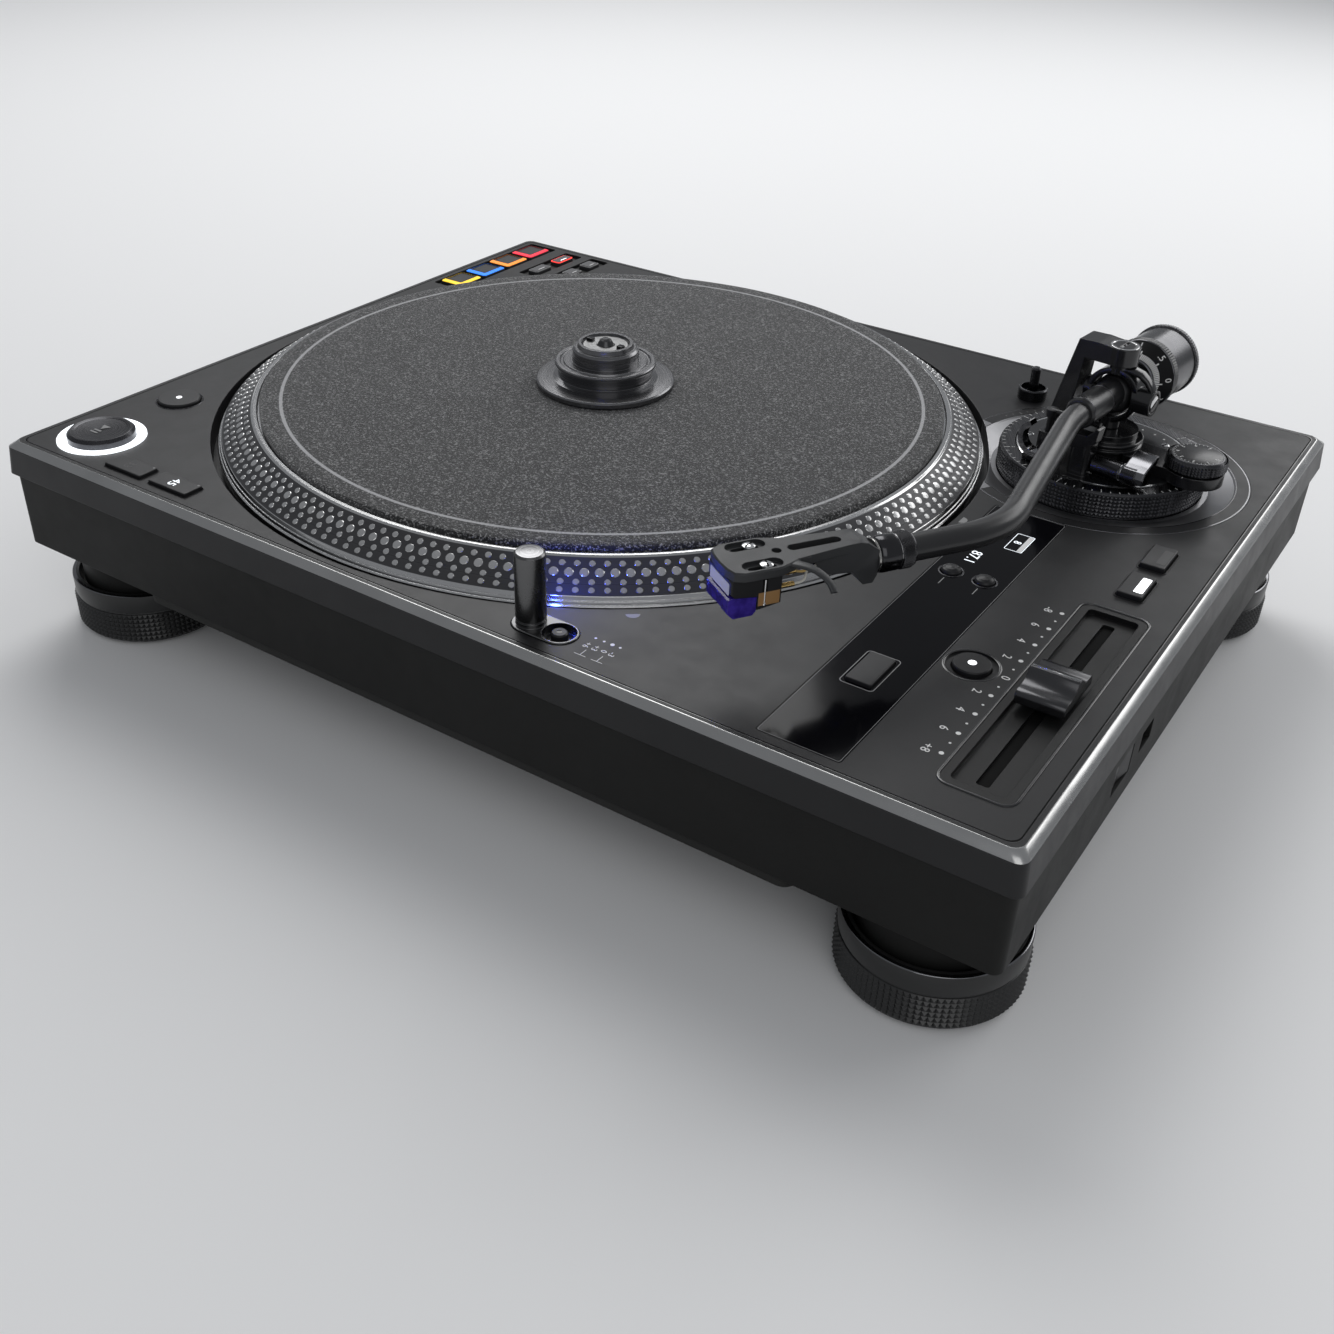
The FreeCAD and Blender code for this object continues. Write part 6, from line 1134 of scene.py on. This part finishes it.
def headshell_details():
    """Cartridge screws, the four leads with their tags and the washer at the collar."""
    place = SHELL_FRAME
    top = 8.7
    for number, side in enumerate((-1, 1)):
        spot = place @ at(42.9, 6.35 * side, 0)
        profile = [(0, top + 0.35), (1.4, top + 0.25), (2.2, top - 0.15), (2.3, top - 1.36), (1.2, top - 1.38),
                   (1.2, 5.56)]
        turned("cartridge_screw_%d" % number, profile, STEEL, "arm", spot, 40)
        # The slot on each head is a thin near-black mark: painted shade, with no cut.
        marks("cartridge_slot_%d" % number, [rounded(0, 0, 3.9, 0.6, 0.05, 1)], top + 0.25, "arm", SLOT_SHADE,
              spot @ spin(0.5 + 0.9 * number, "Z"), 0.09)
    for number, (color, (y0, z0), (y1, z1)) in enumerate((
            ((0.62, 0.05, 0.04), (-1.7, 3.4), (-3.6, 2.35)), ((0.66, 0.45, 0.16), (1.7, 3.4), (3.6, 2.35)),
            ((0.04, 0.32, 0.08), (-1.7, 1.4), (-3.6, -2.45)), ((0.70, 0.68, 0.62), (1.7, 1.4), (3.6, -2.45)))):
        path = [(9.3, y0, z0), (17.0, y0 * 1.2, z0 + 0.9), (25.0, y0 * 1.25, z0 - 0.3),
                (28.2, y1 * 1.3, (z0 + z1) / 2 - 0.6), (31.6, y1, z1)]
        lead("lead_%d" % number, path, color)
        arm_turned("lead_tag_%d" % number, [(0.45, 30.9), (0.9, 31.1), (0.9, 36.9), (0.62, 37.1)], GOLD, "arm", 16,
                   place @ at(0, y1, z1))
    arm_turned("washer", [(5.4, 0.15), (5.86, 0.25), (5.9, 0.6), (5.86, 0.95), (5.4, 1.05)], WASHER, "arm", 72,
               place)


def finger_lift():
    """The headshell with its curved finger lift, a strap that sweeps back and down from the plate's edge.

    The straight lift of the CAD headshell, behind cut_x and beyond cut_y, is cut away first.
    """
    cut_x, cut_y = 31.4, 7.2
    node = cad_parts["headshell"]
    work = bmesh.new()
    work.from_mesh(node.data)
    work.transform(SHELL_FRAME.inverted() @ Matrix.Scale(1 / MM, 4) @ node.matrix_world)
    bmesh.ops.remove_doubles(work, verts=work.verts[:], dist=0.002)
    for spot, way in (((cut_x, 0, 0), (1, 0, 0)), ((0, cut_y, 0), (0, 1, 0))):
        bmesh.ops.bisect_plane(work, geom=work.verts[:] + work.edges[:] + work.faces[:], plane_co=spot, plane_no=way)
    middles = [(face, face.calc_center_median()) for face in work.faces]
    gone = [face for face, middle in middles if middle.x < cut_x and middle.y > cut_y]
    bmesh.ops.delete(work, geom=gone, context="FACES")
    bmesh.ops.holes_fill(work, edges=[edge for edge in work.edges if edge.is_boundary], sides=0)
    work.verts.index_update()
    body = ([tuple(vert.co) for vert in work.verts], [tuple(vert.index for vert in face.verts) for face in work.faces])
    work.free()
    path = [(35.6, 6.6, 7.6), (33.4, 8.9, 7.9), (31.2, 11.4, 7.9), (29.2, 14.0, 7.4), (27.6, 16.5, 6.3),
            (26.6, 18.6, 4.8), (26.2, 20.0, 3.2), (26.3, 20.7, 2.6)]
    lift = strap(path, None, (2.1, 1.1), (0.75, 0.55), 16, (0.6, 0.8))
    shell = make("shell", *merge([body, lift]), SHELL_PAINT, "arm", SHELL_FRAME)
    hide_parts("headshell")


def cartridge_details():
    """Label panel, carrier and side pin of the cartridge."""
    place = SHELL_FRAME
    label = prism(rounded(-1.9, 0.0, 4.2, 13.6, 0.5, 3), 0.0, 0.12)
    make("label_panel", *label, LABEL, "arm", place @ at(55.62, 0, 0) @ spin(math.pi / 2, "Y"))

    def plate(levels):
        """A block between two upright rectangles, given as (y, left, right, top, bottom)."""
        return swept([[(left, y, top), (right, y, top), (right, y, bottom), (left, y, bottom)]
                      for y, left, right, top, bottom in levels])

    for hand, side in (("near", -1), ("far", 1)):
        carrier = plate([(side * 8.28, 38.4, 46.0, -0.4, -5.2), (side * 8.52, 38.6, 45.8, -0.6, -5.0)])
        make("carrier_" + hand, *carrier, CARRIER, "arm", place, smooth=False)
        # The carrier's slot is a near-black plate on its side: painted shade, with no cut.
        slot = plate([(side * 8.28, 42.9, 44.7, -0.2, 4.4), (side * 8.33, 42.9, 44.7, -0.2, 4.4)])
        make("carrier_slot_" + hand, *slot, SLOT_SHADE, "arm", place, smooth=False)
        turned("carrier_pin_" + hand, [(0, 4.2), (0.22, 4.15), (0.28, 3.9), (0.28, -4.2), (0.5, -4.3), (0.5, -5.1),
                                       (0, -5.15)], STEEL, "arm", place @ at(43.8, side * 8.4, 0), 16)


headshell_details()
finger_lift()
cartridge_details()


# Feet, sides and rear

def feet():
    """Screw feet: sole, sharp grip, smooth collar with its well, and the stem that rises from it."""
    under = [(0, 0), (28.8, 0), (29.3, 0.4), (29.6, 1.2), (31.1, 1.4), (31.6, 1.8), (31.7, 2.2)]
    over = [(31.7, 15.0), (31.3, 15.2), (31.2, 15.7), (31.75, 16.2), (31.8, 16.6), (31.8, 23.5), (31.6, 24.1),
            (31.1, 24.3), (29.0, 24.3), (28.6, 23.9), (28.6, 17.4), (4.0, 17.4), (4.0, 25.8), (0, 25.8)]
    shape = merge([lathe(under, 184), lathe(over, 184), pyramids(32.6, 2.2, 15.0, 92, 6, 0.9)])
    for name, (x, y) in FEET.items():
        place = at(x, y, 0)
        body = "foot_" + name
        foot = make(body + "_turned", *shape, RUBBER, body, place)
        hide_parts(body)
        turned(body + "_line", [(30.2, 24.31), (31.1, 24.33), (31.5, 24.22), (31.7, 24.0)], DARK_CHROME, body,
               place, 120)


feet()


def rear_fittings():
    """Sockets, earth post, the flange of the mains inlet and the screws of the rear wall."""
    base = at(130.0, REAR_WALL - 9.0, DECK + SOCKET_Z)
    for number, (shader, x) in enumerate(((RED_PLASTIC, -26.1), (WHITE_PLASTIC, -8.1), (BLACK_METAL, 9.9))):
        for name, profile, finish, segments, closed in (
                ("ring", [(4.3, 0.05), (6.2, 0.05), (6.2, 0.9), (4.3, 0.9)], shader, 40, True),
                ("sleeve", [(4.25, 0.4), (4.32, 0.6), (4.32, 7.9), (4.2, 8.15), (3.6, 8.15), (3.5, 7.9), (3.5, 2.0)],
                 GOLD, 40, False),
                ("heart", [(1.75, 8.02), (3.3, 8.02), (3.3, 7.6)], WHITE_PLASTIC, 32, False)):
            turned("jack_%s_%d" % (name, number), profile, finish, "case", base @ at(x, 0, 0), segments, closed, "Y")
    make("ground_knob", *knurl_grid(4.75, 1.0, 7.0, 20, 3, 0.4), STEEL, "case",
         base @ at(28.8, 0, 0) @ spin(math.pi / 2, "Z"), smooth=False)
    side = at(0, REAR_WALL, DECK + SOCKET_Z) @ spin(-math.pi / 2, "X")
    flat_rim("inlet_flange", -150.0, 0, (37.0, 27.0, 2.5), (30.6, 22.6, 1.6), 0.0, 0.7, PLASTIC, place=side)
    for number, x in enumerate((-166.7, -133.3)):
        cross_screw("inlet_screw_%d" % number, x, 0, 0.7, 1.5, "case", STEEL, side, 0.3)
    for number, x in enumerate((88.5, 171.5)):
        cross_screw("jack_screw_%d" % number, x, 0, 0.0, 1.9, "case", STEEL, side, 0.8)


rear_fittings()


def under_details():
    """Screws that hold the tub and its cover, seen from below."""
    under = at(0, 0, DECK) @ spin(math.pi, "X")
    pan = [(x, y) for x in (-143, -50, 50, 143) for y in (-160, 160)]
    case = [(x, y) for y in (0, 95, -95) for x in (-212, 212)]
    for name, spots, depth, step in (("pan", pan, 53.0, 0.3), ("case", case, 46.8, 0.4)):
        for number, (x, y) in enumerate(spots):
            cross_screw("%s_screw_%d" % (name, number), x, y, depth, 2.6, "case", CORE, under, step * number)


under_details()


# Stage, light and camera

def studio():
    """Pale floor, even world light and three soft lamps."""
    size = 6.0
    mesh = bpy.data.meshes.new("floor")
    mesh.from_pydata([(-size, -size, 0), (size, -size, 0), (size, size, 0), (-size, size, 0)], [], [(0, 1, 2, 3)])
    floor = bpy.data.objects.new("floor", mesh)
    bpy.context.scene.collection.objects.link(floor)
    mesh.materials.append(Shader("floor_pale").set(color=(0.86, 0.86, 0.86), rough=0.7, specular=0.2).material)
    floor.location = (0, 0, -0.0005)
    world = bpy.data.worlds.new("studio_world")
    bpy.context.scene.world = world
    world.use_nodes = True
    tree = world.node_tree
    tree.nodes.clear()
    output = tree.nodes.new("ShaderNodeOutputWorld")
    pale = tree.nodes.new("ShaderNodeBackground")
    pale.inputs["Color"].default_value = (0.92, 0.95, 1.0, 1)
    pale.inputs["Strength"].default_value = 0.32
    tree.links.new(pale.outputs[0], output.inputs["Surface"])
    for name, place, aim_z, width, height, power in (
            ("key", (-0.9, 0.9, 1.5), 0.05, 1.2, 1.2, 18.5), ("back", (0.6, 1.5, 0.9), 0.08, 1.6, 0.6, 8.5),
            ("fill", (1.0, -1.2, 1.1), 0.05, 1.4, 1.4, 6.0)):
        light = bpy.data.lights.new(name, "AREA")
        light.shape = "RECTANGLE"
        light.size = width
        light.size_y = height
        light.energy = power
        thing = bpy.data.objects.new(name, light)
        bpy.context.scene.collection.objects.link(thing)
        thing.location = place
        thing.rotation_euler = (Vector((0, 0, aim_z)) - Vector(place)).to_track_quat("-Z", "Y").to_euler()


studio()


def camera():
    """The photo's camera, solved from the case and the platter; focal length in pixels of its frame."""
    azimuth, height, roll = math.radians(32.523), math.radians(33.569), math.radians(2.112)
    spot = (0.30567, -0.49024, 0.35008)
    focal, pixels, sensor = 1459.24, 1334.0, 36.0
    forward = Vector((-math.sin(azimuth) * math.cos(height), math.cos(azimuth) * math.cos(height), -math.sin(height)))
    right = forward.cross(Vector((0, 0, 1))).normalized()
    up = right.cross(forward)
    rolled_right = right * math.cos(roll) + up * math.sin(roll)
    rolled_up = -right * math.sin(roll) + up * math.cos(roll)
    data = bpy.data.cameras.new("camera")
    data.sensor_width = sensor
    data.lens = focal * sensor / pixels
    data.clip_start = 0.01
    thing = bpy.data.objects.new("camera", data)
    bpy.context.scene.collection.objects.link(thing)
    thing.matrix_world = at(*spot) @ Matrix((rolled_right, rolled_up, -forward)).transposed().to_4x4()
    scene = bpy.context.scene
    scene.camera = thing
    scene.view_settings.view_transform = "Standard"


camera()
